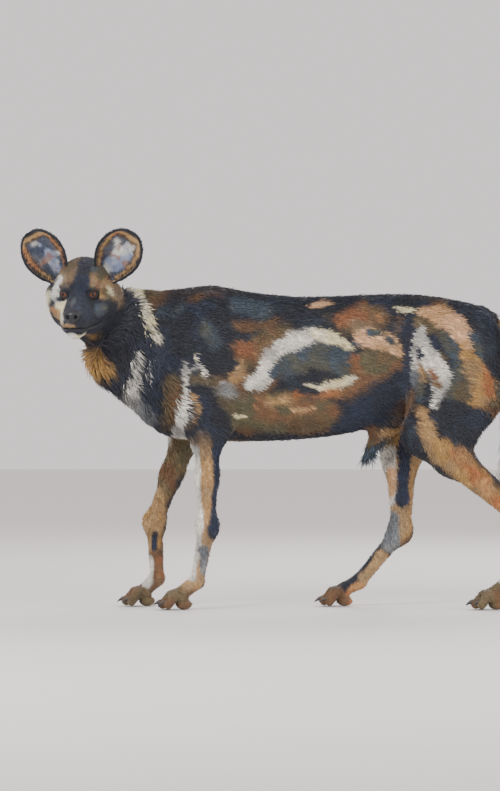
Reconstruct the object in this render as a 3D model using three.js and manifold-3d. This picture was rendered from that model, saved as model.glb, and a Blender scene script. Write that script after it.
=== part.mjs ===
// African wild dog, standing in mid-stride with the head turned to its left, life size, in millimetres.
// The dog faces -X, its left side is towards -Y, +Z is up and all four soles lie on z = 0.
// The body is one smooth field of limbs, muscles and a trunk, meshed node by node and parted by thin cuts.
import * as THREE from "three";
import { mergeVertices } from "three/addons/utils/BufferGeometryUtils.js";
import Module from "manifold-3d";

const wasm = await Module();
wasm.setup();
const { Manifold, Mesh } = wasm;

// Driving dimensions
const WITHERS_HEIGHT = 708; // top of the shoulders above the ground
const BACK_HEIGHT = 690; // the low point of the back
const CHEST_FLOOR = 362; // underside of the chest
const CHEST_HALF_WIDTH = 79;
const STANCE = 68; // half the distance between left and right legs
const HEAD_YAW = THREE.MathUtils.degToRad(82); // from straight ahead, towards the animal's left
const HEAD_PITCH = THREE.MathUtils.degToRad(-12);
const EYE_LEVEL = 686;
const EYE_RADIUS = 13;
const EAR_HEIGHT = 120;
const EAR_WIDTH = 98;
const TAIL_LENGTH = 370;
const GAP = 0.3; // between touching nodes
const ORIGIN = new THREE.Vector3(-46, -46, 0); // middle of the whole animal's footprint in drawing coordinates

const v3 = (x, y, z) => new THREE.Vector3(x, y, z);
const { clamp, lerp, smoothstep } = THREE.MathUtils;

// Field building blocks: each gives roughly the distance to its surface, negative inside

// A limb segment from a to b with a radius at each end; flat squeezes it sideways, along Y.
function limb(a, b, radiusA, radiusB, flat = 1) {
  const axis = b.clone().sub(a);
  const length2 = axis.lengthSq();
  const q = v3(0, 0, 0);
  return (p) => {
    q.copy(p).sub(a);
    const t = clamp(q.dot(axis) / length2, 0, 1);
    q.addScaledVector(axis, -t);
    q.y /= flat;
    return q.length() - lerp(radiusA, radiusB, t);
  };
}

// An ellipsoid with half-sizes, tilted nose-down by pitch in the XZ plane.
function muscle(centre, half, pitch = 0) {
  const c = Math.cos(pitch);
  const s = Math.sin(pitch);
  return (p) => {
    const dx = p.x - centre.x;
    const dz = p.z - centre.z;
    const x = (dx * c - dz * s) / half.x;
    const y = (p.y - centre.y) / half.y;
    const z = (dx * s + dz * c) / half.z;
    const k0 = Math.hypot(x, y, z);
    const k1 = Math.hypot(x / half.x, y / half.y, z / half.z);
    return k1 > 1e-9 ? (k0 * (k0 - 1)) / k1 : -Math.min(half.x, half.y, half.z);
  };
}

// Joins fields with a rounded fillet of about the given width.
function blend(width, ...fields) {
  return (p) => {
    let d = fields[0](p);
    for (let i = 1; i < fields.length; i++) {
      const e = fields[i](p);
      const h = Math.max(width - Math.abs(d - e), 0) / width;
      d = Math.min(d, e) - (h * h * width) / 4;
    }
    return d;
  };
}

// A smooth curve through rows of numbers, read at x, where column 0 is x.
function profile(rows) {
  return (x) => {
    const last = rows.length - 1;
    const at = clamp(x, rows[0][0], rows[last][0]);
    let i = 0;
    while (i < last - 1 && at > rows[i + 1][0]) i += 1;
    const [a, b] = [rows[i], rows[i + 1]];
    const before = rows[Math.max(i - 1, 0)];
    const after = rows[Math.min(i + 2, last)];
    const span = b[0] - a[0];
    const t = (at - a[0]) / span;
    return a.slice(1).map((from, k) => {
      const to = b[k + 1];
      const slopeA = ((to - before[k + 1]) / (b[0] - before[0])) * span;
      const slopeB = ((after[k + 1] - from) / (after[0] - a[0])) * span;
      const t2 = t * t;
      const t3 = t2 * t;
      return (
        (2 * t3 - 3 * t2 + 1) * from + (t3 - 2 * t2 + t) * slopeA
        + (3 * t2 - 2 * t3) * to + (t3 - t2) * slopeB
      );
    });
  };
}

// Trunk: top line, under line and half width from the breast to the rump
const TRUNK = profile([
  [-335, 560, 470, 12],
  [-318, 620, 425, 42],
  [-285, 668, 393, 60],
  [-230, 703, 371, 72],
  [-165, WITHERS_HEIGHT, CHEST_FLOOR, CHEST_HALF_WIDTH - 4],
  [-90, 698, CHEST_FLOOR, CHEST_HALF_WIDTH + 1],
  [-10, BACK_HEIGHT, 366, CHEST_HALF_WIDTH + 4],
  [70, BACK_HEIGHT + 1, 374, CHEST_HALF_WIDTH],
  [140, 694, 388, 76],
  [210, 696, 412, 68],
  [280, 692, 444, 64],
  [340, 681, 480, 56],
  [390, 658, 522, 42],
  [418, 632, 560, 28],
  [432, 606, 588, 10],
]);
const TRUNK_SQUARENESS = 2.15;

function trunk(p) {
  const [top, under, half] = TRUNK(p.x);
  const past = Math.max(-335 - p.x, p.x - 432, 0);
  const tall = Math.max((top - under) / 2, 6);
  const y = Math.abs(p.y) / Math.max(half, 6);
  const z = Math.abs(p.z - (top + under) / 2) / tall;
  const n = TRUNK_SQUARENESS;
  const round = (y ** n + z ** n) ** (1 / n);
  const across = (round - 1) * Math.min(half, tall);
  return past > 0 ? Math.hypot(Math.max(across, 0), past) : across;
}

// Joints of each leg from the top down, as [x, z]; the left legs are towards -Y
const JOINTS = ["shoulder", "knee", "wrist", "ankle", "toe"];
const legOf = (side, ...points) => {
  const places = JOINTS.map((name, i) => [name, points[i]]);
  return { side, ...Object.fromEntries(places) };
};
const LEGS = {
  foreleg_left: legOf(-1, [-262, 515], [-204, 385], [-203, 182], [-226, 62], [-262, 20]),
  foreleg_right: legOf(1, [-278, 515], [-250, 385], [-322, 188], [-316, 62], [-346, 20]),
  hindleg_left: legOf(-1, [345, 585], [268, 385], [474, 205], [452, 58], [420, 20]),
  hindleg_right: legOf(1, [345, 585], [222, 395], [222, 165], [132, 55], [92, 20]),
};

const joint = (leg, name, spread = STANCE) => v3(leg[name][0], leg.side * spread, leg[name][1]);

function foreleg(leg) {
  const shoulder = joint(leg, "shoulder", 66);
  const elbow = joint(leg, "knee", 70);
  const wrist = joint(leg, "wrist");
  const ankle = joint(leg, "ankle");
  const blade = v3(-205, leg.side * 52, 640);
  return blend(
    22,
    blend(
      40,
      limb(blade, shoulder, 42, 48, 0.62),
      limb(shoulder, elbow, 56, 40, 0.6),
      muscle(v3(elbow.x + 8, elbow.y, elbow.z + 62), v3(46, 26, 68), -0.35),
    ),
    limb(elbow, elbow.clone().lerp(wrist, 0.5), 35, 23, 0.78),
    limb(elbow.clone().lerp(wrist, 0.45), wrist, 24, 18, 0.85),
    muscle(wrist, v3(21, 17, 25)),
    limb(wrist, ankle, 17.5, 16, 0.95),
  );
}

function hindleg(leg) {
  const hip = joint(leg, "shoulder", 44);
  const knee = joint(leg, "knee", 74);
  const hock = joint(leg, "wrist");
  const ankle = joint(leg, "ankle");
  const shank = hock.clone().sub(knee);
  const calf = knee.clone().addScaledVector(shank, 0.3);
  const buttock = v3(hip.x + 48, leg.side * 50, hip.z - 100);
  return blend(
    24,
    blend(
      50,
      limb(hip, knee, 82, 50, 0.5),
      limb(hip.clone().add(v3(30, 0, -10)), buttock, 62, 52, 0.6),
      limb(buttock, calf, 50, 34, 0.6),
    ),
    limb(knee, calf, 42, 36, 0.66),
    limb(calf, hock, 33, 17, 0.72),
    limb(calf.clone().add(v3(16, 0, 8)), hock.clone().add(v3(11, 0, 10)), 18, 8, 0.7),
    muscle(hock, v3(23, 16, 24)),
    limb(hock, ankle, 18, 16.5, 0.9),
  );
}

// A paw: a pastern, a low heel pad and four arched toes that fan out, cut flat by the ground later.
const TOE_FAN = [-22, -8, 8, 22];
const TOE_REACH = [26, 38, 38, 26];

function toeTip(leg, k) {
  const foot = joint(leg, "toe");
  return foot.add(v3(-TOE_REACH[k], TOE_FAN[k], -8));
}

function paw(leg) {
  const ankle = joint(leg, "ankle");
  const toe = joint(leg, "toe");
  const pastern = toe.clone().add(v3(0, 0, 14));
  const heel = limb(ankle, pastern, 17, 17, 1.1);
  const pad = muscle(toe.clone().add(v3(8, 0, -9)), v3(19, 21, 12));
  const toes = TOE_FAN.map((side, k) => {
    const root = toe.clone().add(v3(2, side * 0.62, 8));
    const knuckle = toe.clone().add(v3(-TOE_REACH[k] / 2, side * 0.92, 12));
    return blend(4, limb(root, knuckle, 12, 12.5, 0.84), limb(knuckle, toeTip(leg, k), 12.5, 11.5, 0.84));
  });
  return blend(9, blend(14, heel, pad), blend(3.5, ...toes));
}

// Head, drawn in its own frame: x forward, y to the animal's left, z up, from midway between the eyes
const HEAD = v3(-480, -100, EYE_LEVEL);
const HEAD_FRAME = new THREE.Matrix4()
  .makeTranslation(HEAD.x, HEAD.y, HEAD.z)
  .multiply(new THREE.Matrix4().makeRotationZ(Math.PI + HEAD_YAW))
  .multiply(new THREE.Matrix4().makeRotationY(-HEAD_PITCH));
const INTO_HEAD = HEAD_FRAME.clone().invert();

function headShape() {
  const both = (make) => [make(1), make(-1)];
  const skull = blend(
    26,
    muscle(v3(-58, 0, 16), v3(62, 58, 56)),
    muscle(v3(-18, 0, 22), v3(40, 46, 34)),
    ...both((s) => muscle(v3(-44, s * 48, -28), v3(44, 27, 44))),
    ...both((s) => limb(v3(-50, s * 62, -8), v3(2, s * 44, -27), 17, 15)),
  );
  const muzzle = blend(
    16,
    limb(v3(-8, 0, -20), v3(74, 0, -33), 34, 23, 0.98),
    ...both((s) => limb(v3(0, s * 21, -42), v3(70, s * 13, -47), 25, 17)),
    muscle(v3(80, 0, -36), v3(17, 19, 16)),
  );
  const jaw = blend(
    14,
    limb(v3(-4, 0, -68), v3(70, 0, -70), 20, 14, 1.2),
    ...both((s) => limb(v3(-62, s * 42, -54), v3(8, s * 24, -68), 24, 16)),
  );
  const brows = both((s) => muscle(v3(3, s * 31, 20), v3(20, 22, 11)));
  return blend(12, blend(20, skull, muzzle), jaw, ...brows);
}

const headLocal = headShape();
const inHead = v3(0, 0, 0);
const head = (p) => headLocal(inHead.copy(p).applyMatrix4(INTO_HEAD));

// Neck: deep and flat sided, from the shoulders up to the back of the head
const NAPE = v3(-440, 6, 682);
const neck = blend(
  40,
  limb(v3(-225, 0, 560), v3(-340, -2, 588), 128, 104, 0.66),
  limb(v3(-340, -2, 588), NAPE.clone().add(v3(0, 0, -40)), 102, 66, 0.74),
  limb(v3(-268, 0, 480), v3(-400, -10, 550), 92, 60, 0.7),
);

// Tail bone, hanging from the rump
const TAIL_PATH = new THREE.CatmullRomCurve3([
  v3(398, 0, 640),
  v3(432, 0, 622),
  v3(462, 2, 560),
  v3(480, 3, 470),
  v3(484, 2, 380),
  v3(474, 0, 640 - TAIL_LENGTH + 20),
]);
const TAIL_THICKNESS = [24, 21, 19, 20, 23, 25, 23, 17, 8];

function tailBone() {
  const last = TAIL_THICKNESS.length - 1;
  const pieces = [];
  for (let i = 0; i < last; i++) {
    const from = TAIL_PATH.getPoint(i / last);
    const to = TAIL_PATH.getPoint((i + 1) / last);
    pieces.push(limb(from, to, TAIL_THICKNESS[i], TAIL_THICKNESS[i + 1], 0.95));
  }
  return blend(8, ...pieces);
}

const forelegs = [LEGS.foreleg_left, LEGS.foreleg_right];
const hindlegs = [LEGS.hindleg_left, LEGS.hindleg_right];
const sheath = limb(v3(196, 0, 408), v3(146, 0, 342), 26, 12, 0.7);
const body = blend(
  38,
  blend(46, trunk, neck),
  ...forelegs.map(foreleg),
  ...hindlegs.map(hindleg),
  sheath,
);
const tailed = blend(26, body, tailBone());
const flesh = blend(24, body, head);
const feet = Object.fromEntries(Object.entries(LEGS).map(([name, leg]) => [name, blend(10, flesh, paw(leg))]));

// Meshing: a closed mesh of the zero surface of a field inside a box, on a grid of the given cell size
function skin(field, box, cell, grow = 0) {
  const size = box.getSize(v3(0, 0, 0));
  const n = ["x", "y", "z"].map((k) => Math.max(2, Math.ceil(size[k] / cell[k])));
  const step = v3(size.x / n[0], size.y / n[1], size.z / n[2]);
  const [sx, sy] = [1, n[0] + 1];
  const sz = sy * (n[1] + 1);
  const corner = (i, j, k) => v3(box.min.x + i * step.x, box.min.y + j * step.y, box.min.z + k * step.z);
  const values = new Float64Array(sz * (n[2] + 1));
  const edge = (i, j, k) => i === 0 || j === 0 || k === 0 || i === n[0] || j === n[1] || k === n[2];
  for (let k = 0; k <= n[2]; k++)
    for (let j = 0; j <= n[1]; j++)
      for (let i = 0; i <= n[0]; i++) {
        const d = field(corner(i, j, k)) - grow;
        values[i + j * sy + k * sz] = edge(i, j, k) ? Math.max(d, 0.2) : d;
      }
  const points = [];
  const made = new Map();
  const corners = [0, sx, sy, sx + sy, sz, sz + sx, sz + sy, sz + sx + sy];
  const edges = [[0, 1], [2, 3], [4, 5], [6, 7], [0, 2], [1, 3], [4, 6], [5, 7], [0, 4], [1, 5], [2, 6], [3, 7]];
  for (let k = 0; k < n[2]; k++)
    for (let j = 0; j < n[1]; j++)
      for (let i = 0; i < n[0]; i++) {
        const base = i + j * sy + k * sz;
        const sum = v3(0, 0, 0);
        let count = 0;
        for (const [a, b] of edges) {
          const [da, db] = [values[base + corners[a]], values[base + corners[b]]];
          if (da < 0 === db < 0) continue;
          const t = da / (da - db);
          const pa = v3(a & 1, (a >> 1) & 1, a >> 2);
          const pb = v3(b & 1, (b >> 1) & 1, b >> 2);
          sum.add(pa.lerp(pb, t));
          count += 1;
        }
        if (!count) continue;
        sum.divideScalar(count);
        const p = v3(i, j, k).add(sum).multiply(step).add(box.min);
        made.set(base, points.length / 3);
        points.push(...settle(p, field, grow, step).toArray());
      }
  const faces = [];
  const quad = (a, b, c, d, turn) => {
    const ring = turn ? [a, b, c, d] : [a, d, c, b];
    const at = (q) => v3().fromArray(points, q * 3);
    const one = at(ring[0]).distanceTo(at(ring[2]));
    const two = at(ring[1]).distanceTo(at(ring[3]));
    const [p, q, r, s] = one <= two ? ring : [ring[1], ring[2], ring[3], ring[0]];
    faces.push(p, q, r, p, r, s);
  };
  for (let k = 1; k < n[2]; k++)
    for (let j = 1; j < n[1]; j++)
      for (let i = 1; i < n[0]; i++) {
        const c = i + j * sy + k * sz;
        const inside = values[c] < 0;
        for (const [along, u, w] of [[sx, sy, sz], [sy, sz, sx], [sz, sx, sy]]) {
          if (inside === values[c + along] < 0) continue;
          quad(made.get(c - u - w), made.get(c - w), made.get(c), made.get(c - u), inside);
        }
        for (const [along, u, w, first] of [
          [sx, sy, sz, i === 1],
          [sy, sz, sx, j === 1],
          [sz, sx, sy, k === 1],
        ]) {
          const d = c - along;
          if (!first || values[d] < 0 === inside) continue;
          quad(made.get(d - u - w), made.get(d - w), made.get(d), made.get(d - u), values[d] < 0);
        }
      }
  return solid(points, faces);
}

// Moves a grid point onto the field's surface, by at most half a cell.
function settle(p, field, grow, step) {
  const start = p.clone();
  const h = 0.5;
  for (let pass = 0; pass < 3; pass++) {
    const d = field(p) - grow;
    const g = v3(
      field(v3(p.x + h, p.y, p.z)) - field(v3(p.x - h, p.y, p.z)),
      field(v3(p.x, p.y + h, p.z)) - field(v3(p.x, p.y - h, p.z)),
      field(v3(p.x, p.y, p.z + h)) - field(v3(p.x, p.y, p.z - h)),
    ).divideScalar(2 * h);
    p.addScaledVector(g, -d / Math.max(g.lengthSq(), 0.3));
  }
  const off = p.clone().sub(start);
  const reach = 0.45;
  off.set(
    clamp(off.x, -reach * step.x, reach * step.x),
    clamp(off.y, -reach * step.y, reach * step.y),
    clamp(off.z, -reach * step.z, reach * step.z),
  );
  return start.add(off);
}

// Solids
function solid(points, faces) {
  return new Manifold(
    new Mesh({ numProp: 3, vertProperties: new Float32Array(points), triVerts: new Uint32Array(faces) }),
  );
}

function solidOf(geometry, matrix) {
  const bare = new THREE.BufferGeometry();
  bare.setAttribute("position", geometry.getAttribute("position").clone());
  bare.setIndex(geometry.index);
  if (matrix) bare.applyMatrix4(matrix);
  const merged = mergeVertices(bare, 1e-3);
  return solid(merged.attributes.position.array, merged.index.array);
}

function largest(shape) {
  const parts = shape.decompose();
  return parts.reduce((a, b) => (b.volume() > a.volume() ? b : a));
}

// A box turned so that its +Z face lies on the plane through point with the given outward normal.
function slabBelow(point, normal, wide, deep, gap = 0) {
  const turn = new THREE.Quaternion().setFromUnitVectors(v3(0, 0, 1), normal.clone().normalize());
  const matrix = new THREE.Matrix4().compose(point, turn, v3(1, 1, 1));
  matrix.multiply(new THREE.Matrix4().makeTranslation(0, 0, -deep / 2 + gap));
  return solidOf(new THREE.BoxGeometry(wide.x + 2 * gap, wide.y + 2 * gap, deep), matrix);
}

const nodes = new Map();
const SIMPLER = 0.3; // slivers thinner than this are merged away
const keep = (name, shape, material) => {
  nodes.set(name, { shape: largest(largest(shape).simplify(SIMPLER)), material });
};
const block = (a, b) => {
  const box = new THREE.Box3(a, b);
  const size = box.getSize(v3(0, 0, 0));
  const matrix = new THREE.Matrix4().setPosition(box.getCenter(v3(0, 0, 0)));
  return solidOf(new THREE.BoxGeometry(size.x, size.y, size.z), matrix);
};

// Materials, by the colour that most of each node has in the picture
const paint = (color, roughness = 0.85) => new THREE.MeshStandardMaterial({ color, roughness, metalness: 0 });
const MATERIALS = {
  coat: paint(0x3a3833),
  tan: paint(0xb07a3c),
  pale: paint(0xe4dccb),
  dark: paint(0x1c1a1a),
  horn: paint(0x2a2522, 0.5),
  eye: paint(0x5a2f1c, 0.12),
};

// Cutting planes: legs leave the trunk on slanted planes, so that the breastbone and the groin stay whole
const LEG_CUTS = {
  foreleg_left: { at: [-262, 372], spread: 62, pitch: 0, from: -400, to: -128 },
  foreleg_right: { at: [-262, 372], spread: 62, pitch: 0, from: -400, to: -128 },
  hindleg_left: { at: [310, 468], spread: 46, pitch: -0.55, from: 110, to: 520 },
  hindleg_right: { at: [285, 462], spread: 46, pitch: -0.55, from: 90, to: 520 },
};

function legRegion(name, gap = 0) {
  const cut = LEG_CUTS[name];
  const { side } = LEGS[name];
  const normal = v3(cut.pitch, -side * 0.45, 0.75);
  const point = v3(cut.at[0], side * cut.spread, cut.at[1]);
  const region = slabBelow(point, normal, v3(1600, 900, 0), 900, gap);
  const half = block(
    v3(cut.from - gap, side > 0 ? 4 - gap : -260, -40),
    v3(cut.to + gap, side > 0 ? 260 : -4 + gap, 620),
  );
  return region.intersect(half);
}

const ABOVE_GROUND = block(v3(-800, -400, 0), v3(800, 400, 1200));

const HEAD_CUT = { point: v3(-66, 60, -60), normal: v3(-0.45, 0.69, -0.55) }; // in the head's frame

function headRegion(gap = 0) {
  const point = HEAD_CUT.point.clone().applyMatrix4(HEAD_FRAME);
  const normal = HEAD_CUT.normal.clone().transformDirection(HEAD_FRAME);
  return slabBelow(point, normal, v3(900, 900, 0), 600, gap);
}

const NECK_CUT = { point: v3(-292, 0, 560), normal: v3(1, 0, -0.32) };
const neckRegion = (gap = 0) => slabBelow(NECK_CUT.point, NECK_CUT.normal, v3(900, 700, 0), 500, gap);
const TAIL_CUT = 444;
const tailRegion = (gap = 0) => block(v3(TAIL_CUT - gap, -38 - gap, 200), v3(620, 38 + gap, 720));

function makeTorso() {
  const box = new THREE.Box3(v3(-372, -140, 290), v3(468, 140, 745));
  let shape = skin(tailed, box, v3(41, 30, 32));
  for (const one of bellyLocks()) shape = shape.add(one);
  for (const name of Object.keys(LEGS)) shape = shape.subtract(legRegion(name, GAP));
  shape = shape.subtract(neckRegion(GAP)).subtract(tailRegion(GAP));
  keep("torso", shape, MATERIALS.coat);
}

function makeNeck() {
  const box = new THREE.Box3(v3(-540, -150, 380), v3(-230, 120, 780));
  let shape = skin(flesh, box, v3(24, 22, 24));
  for (const one of ruffLocks()) shape = shape.add(one);
  shape = shape.intersect(neckRegion());
  shape = shape.subtract(headRegion(GAP));
  for (const name of ["foreleg_left", "foreleg_right"]) shape = shape.subtract(legRegion(name, GAP));
  keep("neck", shape, MATERIALS.coat);
}

const WRIST_CUT = 66;

function makeLeg(name, leg) {
  const xs = Object.values(leg).filter(Array.isArray).map(([x]) => x);
  const cut = LEG_CUTS[name];
  const inner = leg.side > 0 ? 2 : -150;
  const outer = leg.side > 0 ? 150 : -2;
  const top = name.startsWith("fore") ? 470 : 650;
  const left = Math.max(Math.min(...xs) - 110, cut.from - 40);
  const right = Math.min(Math.max(...xs) + 130, 540);
  const field = feet[name];
  const leggy = skin(field, new THREE.Box3(v3(left, inner, 40), v3(right, outer, top)), v3(18.7, 14.9, 32.5));
  const region = legRegion(name).subtract(tailRegion(GAP));
  const underCut = block(v3(-800, -400, -50), v3(800, 400, WRIST_CUT));
  keep(name, leggy.intersect(region).subtract(underCut), MATERIALS.tan);
  const toe = joint(leg, "toe");
  const pawBox = new THREE.Box3(v3(toe.x - 60, toe.y - 48, -30), v3(toe.x + 76, toe.y + 48, 84));
  const foot = skin(field, pawBox, v3(11.5, 9, 11.5));
  const pawSolid = largest(
    foot.intersect(block(v3(-800, -400, 0), v3(800, 400, WRIST_CUT - GAP))),
  );
  const pawName = name.replace("leg", "paw");
  keep(pawName, pawSolid, MATERIALS.tan);
  TOE_FAN.forEach((side, k) => keep(`claw_${pawName}_${k + 1}`, claw(leg, k, pawSolid), MATERIALS.horn));
}

// A claw: a curved cone from the toe's tip, tapering down to just above the ground
function claw(leg, k, pawSolid) {
  const tip = toeTip(leg, k);
  const rings = 3;
  const sides = 5;
  const length = 17;
  const points = [];
  for (let i = 0; i <= rings; i++) {
    const t = i / rings;
    const radius = lerp(5.4, 0.9, t ** 1.3);
    const centre = v3(tip.x - 5 - length * t, tip.y + side(k) * 2 * t, tip.z + 6 - 8 * t * t);
    for (let s = 0; s < sides; s++) {
      const turn = (2 * Math.PI * s) / sides;
      points.push(centre.x, centre.y + 0.72 * radius * Math.cos(turn), centre.z + radius * Math.sin(turn));
    }
  }
  const horn = solid(points, tubeFaces(rings, sides, true));
  return largest(horn.subtract(pawSolid.translate([-GAP, 0, 0])).subtract(pawSolid));
}

const side = (k) => Math.sign(TOE_FAN[k]);

// Faces of a capped tube whose rings of points follow one another.
function tubeFaces(rings, sides, turned = false) {
  const faces = [];
  for (let i = 0; i < rings; i++)
    for (let s = 0; s < sides; s++) {
      const [a, b] = [i * sides + s, i * sides + ((s + 1) % sides)];
      faces.push(a, b, b + sides, a, b + sides, a + sides);
    }
  for (let s = 1; s < sides - 1; s++) {
    faces.push(0, s + 1, s);
    const end = rings * sides;
    faces.push(end, end + s, end + s + 1);
  }
  if (turned) {
    for (let i = 0; i < faces.length; i += 3) [faces[i + 1], faces[i + 2]] = [faces[i + 2], faces[i + 1]];
  }
  return faces;
}

// Where a ray from a point in the head leaves its skin, drawn back by the given depth, in the head's frame
function underSkin(from, direction, depth) {
  let [inside, outside] = [0, 120];
  const outward = (far) => flesh(from.clone().addScaledVector(direction, far).applyMatrix4(HEAD_FRAME));
  if (outward(0) > 0) [inside, outside] = [-80, 0];
  for (let i = 0; i < 24; i++) {
    const middle = (inside + outside) / 2;
    if (outward(middle) < 0) inside = middle;
    else outside = middle;
  }
  return from.clone().addScaledVector(direction, inside - depth);
}

const eyeGaze = (s) => v3(0.88, s * 0.42, 0.1).normalize();
const eyeCentre = (s) => underSkin(v3(-20, s * 15, 0), eyeGaze(s), EYE_RADIUS - 6);
const ball = (radius, centre, half = v3(1, 1, 1), detail = 7) => solidOf(
  new THREE.SphereGeometry(radius, detail * 2, detail),
  HEAD_FRAME.clone().multiply(new THREE.Matrix4().compose(centre, new THREE.Quaternion(), half)),
);

// A tube of a few sides through points, closed on itself or capped.
function tube(points, radius, sides, closed = false) {
  const path = new THREE.CatmullRomCurve3(points, closed);
  const section = new THREE.Shape();
  for (let s = 0; s < sides; s++) {
    const turn = (2 * Math.PI * s) / sides;
    const [x, y] = [radius * Math.cos(turn), radius * Math.sin(turn)];
    if (s === 0) section.moveTo(x, y);
    else section.lineTo(x, y);
  }
  const steps = points.length * 2;
  return new THREE.ExtrudeGeometry(section, { steps, extrudePath: path, bevelEnabled: false });
}

// Eyelids: one almond rim on each eyeball
function lids(s) {
  const centre = eyeCentre(s);
  const gaze = eyeGaze(s);
  const across = v3(0, 0, 1).cross(gaze).normalize();
  const up = gaze.clone().cross(across);
  const rim = [];
  for (let i = 0; i < 8; i++) {
    const turn = (2 * Math.PI * i) / 8;
    const sideways = gaze.clone().addScaledVector(across, 0.95 * Math.cos(turn));
    const at = sideways.addScaledVector(up, 0.56 * Math.sin(turn));
    rim.push(at.normalize().multiplyScalar(EYE_RADIUS + 0.8).add(centre));
  }
  rim.push(rim[0].clone());
  const ring = tube(rim, 2.4, 5);
  return solidOf(ring, HEAD_FRAME);
}

// The mouth's line: from a point in the middle of the jaws, out towards a point of the lips
const LIP_LINE = [
  [v3(70, 0, -57), v3(1, 0.12, 0)],
  [v3(66, 0, -58), v3(0.7, 0.7, 0)],
  [v3(50, 0, -60), v3(0.2, 1, 0)],
  [v3(26, 0, -61), v3(0.1, 1, 0)],
  [v3(2, 0, -57), v3(0.05, 1, 0)],
];

function mouth() {
  const left = LIP_LINE.map(([from, towards]) => underSkin(from, towards.clone().normalize(), 0.6));
  const right = left.map((p) => v3(p.x, -p.y, p.z));
  return solidOf(tube([...left.reverse(), ...right], 1.9, 5), HEAD_FRAME);
}

const NOSE = { centre: v3(93, 0, -29), half: v3(13, 20, 14) };

function nose() {
  let pad = ball(1, NOSE.centre, NOSE.half, 6);
  for (const s of [1, -1]) pad = pad.subtract(ball(1, v3(104, s * 9, -30), v3(7, 4.4, 4.6), 4));
  return pad;
}

// An ear: a thin cup, wide and round above, curled into a funnel at its root
const EAR_THICKNESS = 5;

function ear(s) {
  const rows = 10;
  const columns = 8;
  const up = v3(-0.06, s * 0.5, 0.86).normalize();
  const face = v3(0.97, s * 0.22, 0);
  face.addScaledVector(up, -face.dot(up)).normalize();
  const across = up.clone().cross(face).multiplyScalar(s).normalize();
  const root = v3(-34, s * 50, 28);
  const points = [];
  for (let i = 0; i <= rows; i++) {
    const u = (i / rows) * 0.992;
    const widest = 0.52;
    const w = u < widest
      ? (EAR_WIDTH / 2) * (0.4 + 0.6 * Math.sin((Math.PI / 2) * (u / widest)))
      : (EAR_WIDTH / 2) * Math.sqrt(1 - ((u - widest) / (1 - widest)) ** 2);
    const curl = lerp(1.6, 0.75, smoothstep(u, 0, 0.6));
    const radius = w / Math.sin(Math.min(curl, Math.PI / 2));
    const thick = EAR_THICKNESS * (1.5 - 0.8 * u);
    const at = (v, depth) => {
      const turn = v * curl;
      const r = radius + depth;
      const back = -(r * Math.cos(turn) - radius * Math.cos(curl));
      return root.clone()
        .addScaledVector(up, EAR_HEIGHT * u)
        .addScaledVector(across, r * Math.sin(turn))
        .addScaledVector(face, back + 10 * u);
    };
    for (let k = 0; k <= columns; k++) points.push(at(-1 + (2 * k) / columns, thick / 2));
    for (let k = columns; k >= 0; k--) points.push(at(-1 + (2 * k) / columns, -thick / 2));
  }
  const ring = 2 * (columns + 1);
  const faces = [];
  for (let i = 0; i < rows; i++)
    for (let k = 0; k < ring; k++) {
      const [a, b] = [i * ring + k, i * ring + ((k + 1) % ring)];
      faces.push(a, b, b + ring, a, b + ring, a + ring);
    }
  for (const [start, turned] of [[0, false], [rows * ring, true]])
    for (let k = 0; k < columns; k++) {
      const [a, b, c, d] = [start + k, start + k + 1, start + ring - 2 - k, start + ring - 1 - k];
      if (turned) faces.push(a, b, c, a, c, d);
      else faces.push(a, c, b, a, d, c);
    }
  const flat = points.flatMap((p) => p.applyMatrix4(HEAD_FRAME).toArray());
  let made = solid(flat, faces);
  if (made.volume() < 0) {
    for (let i = 0; i < faces.length; i += 3) [faces[i + 1], faces[i + 2]] = [faces[i + 2], faces[i + 1]];
    made = solid(flat, faces);
  }
  return made;
}

function makeHead() {
  const box = new THREE.Box3(v3(-640, -250, 540), v3(-360, 80, 800));
  const cell = v3(17.6, 17.6, 15.5);
  const region = headRegion();
  const grown = skin(flesh, box, cell, GAP).intersect(headRegion(GAP));
  let shape = skin(flesh, box, cell).intersect(region);
  shape = shape.add(lids(1)).add(lids(-1)).subtract(mouth());
  for (const [s, hand] of [[1, "left"], [-1, "right"]]) {
    shape = shape.subtract(ball(EYE_RADIUS + GAP, eyeCentre(s)));
    keep(`eye_${hand}`, ball(EYE_RADIUS, eyeCentre(s), v3(1, 1, 1), 7), MATERIALS.eye);
    keep(`ear_${hand}`, largest(ear(s).intersect(region).subtract(grown)), MATERIALS.dark);
  }
  const pad = nose();
  shape = shape.subtract(ball(1, NOSE.centre, NOSE.half.clone().addScalar(GAP), 6));
  keep("nose", pad, MATERIALS.dark);
  keep("head", shape, MATERIALS.dark);
}

// A lock of long hair: a flat closed blade that lies along one way, bends out and tapers to its tip
const LOCK_STATIONS = [[-0.14, 0.55], [0.3, 1], [0.68, 0.72]];

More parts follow.
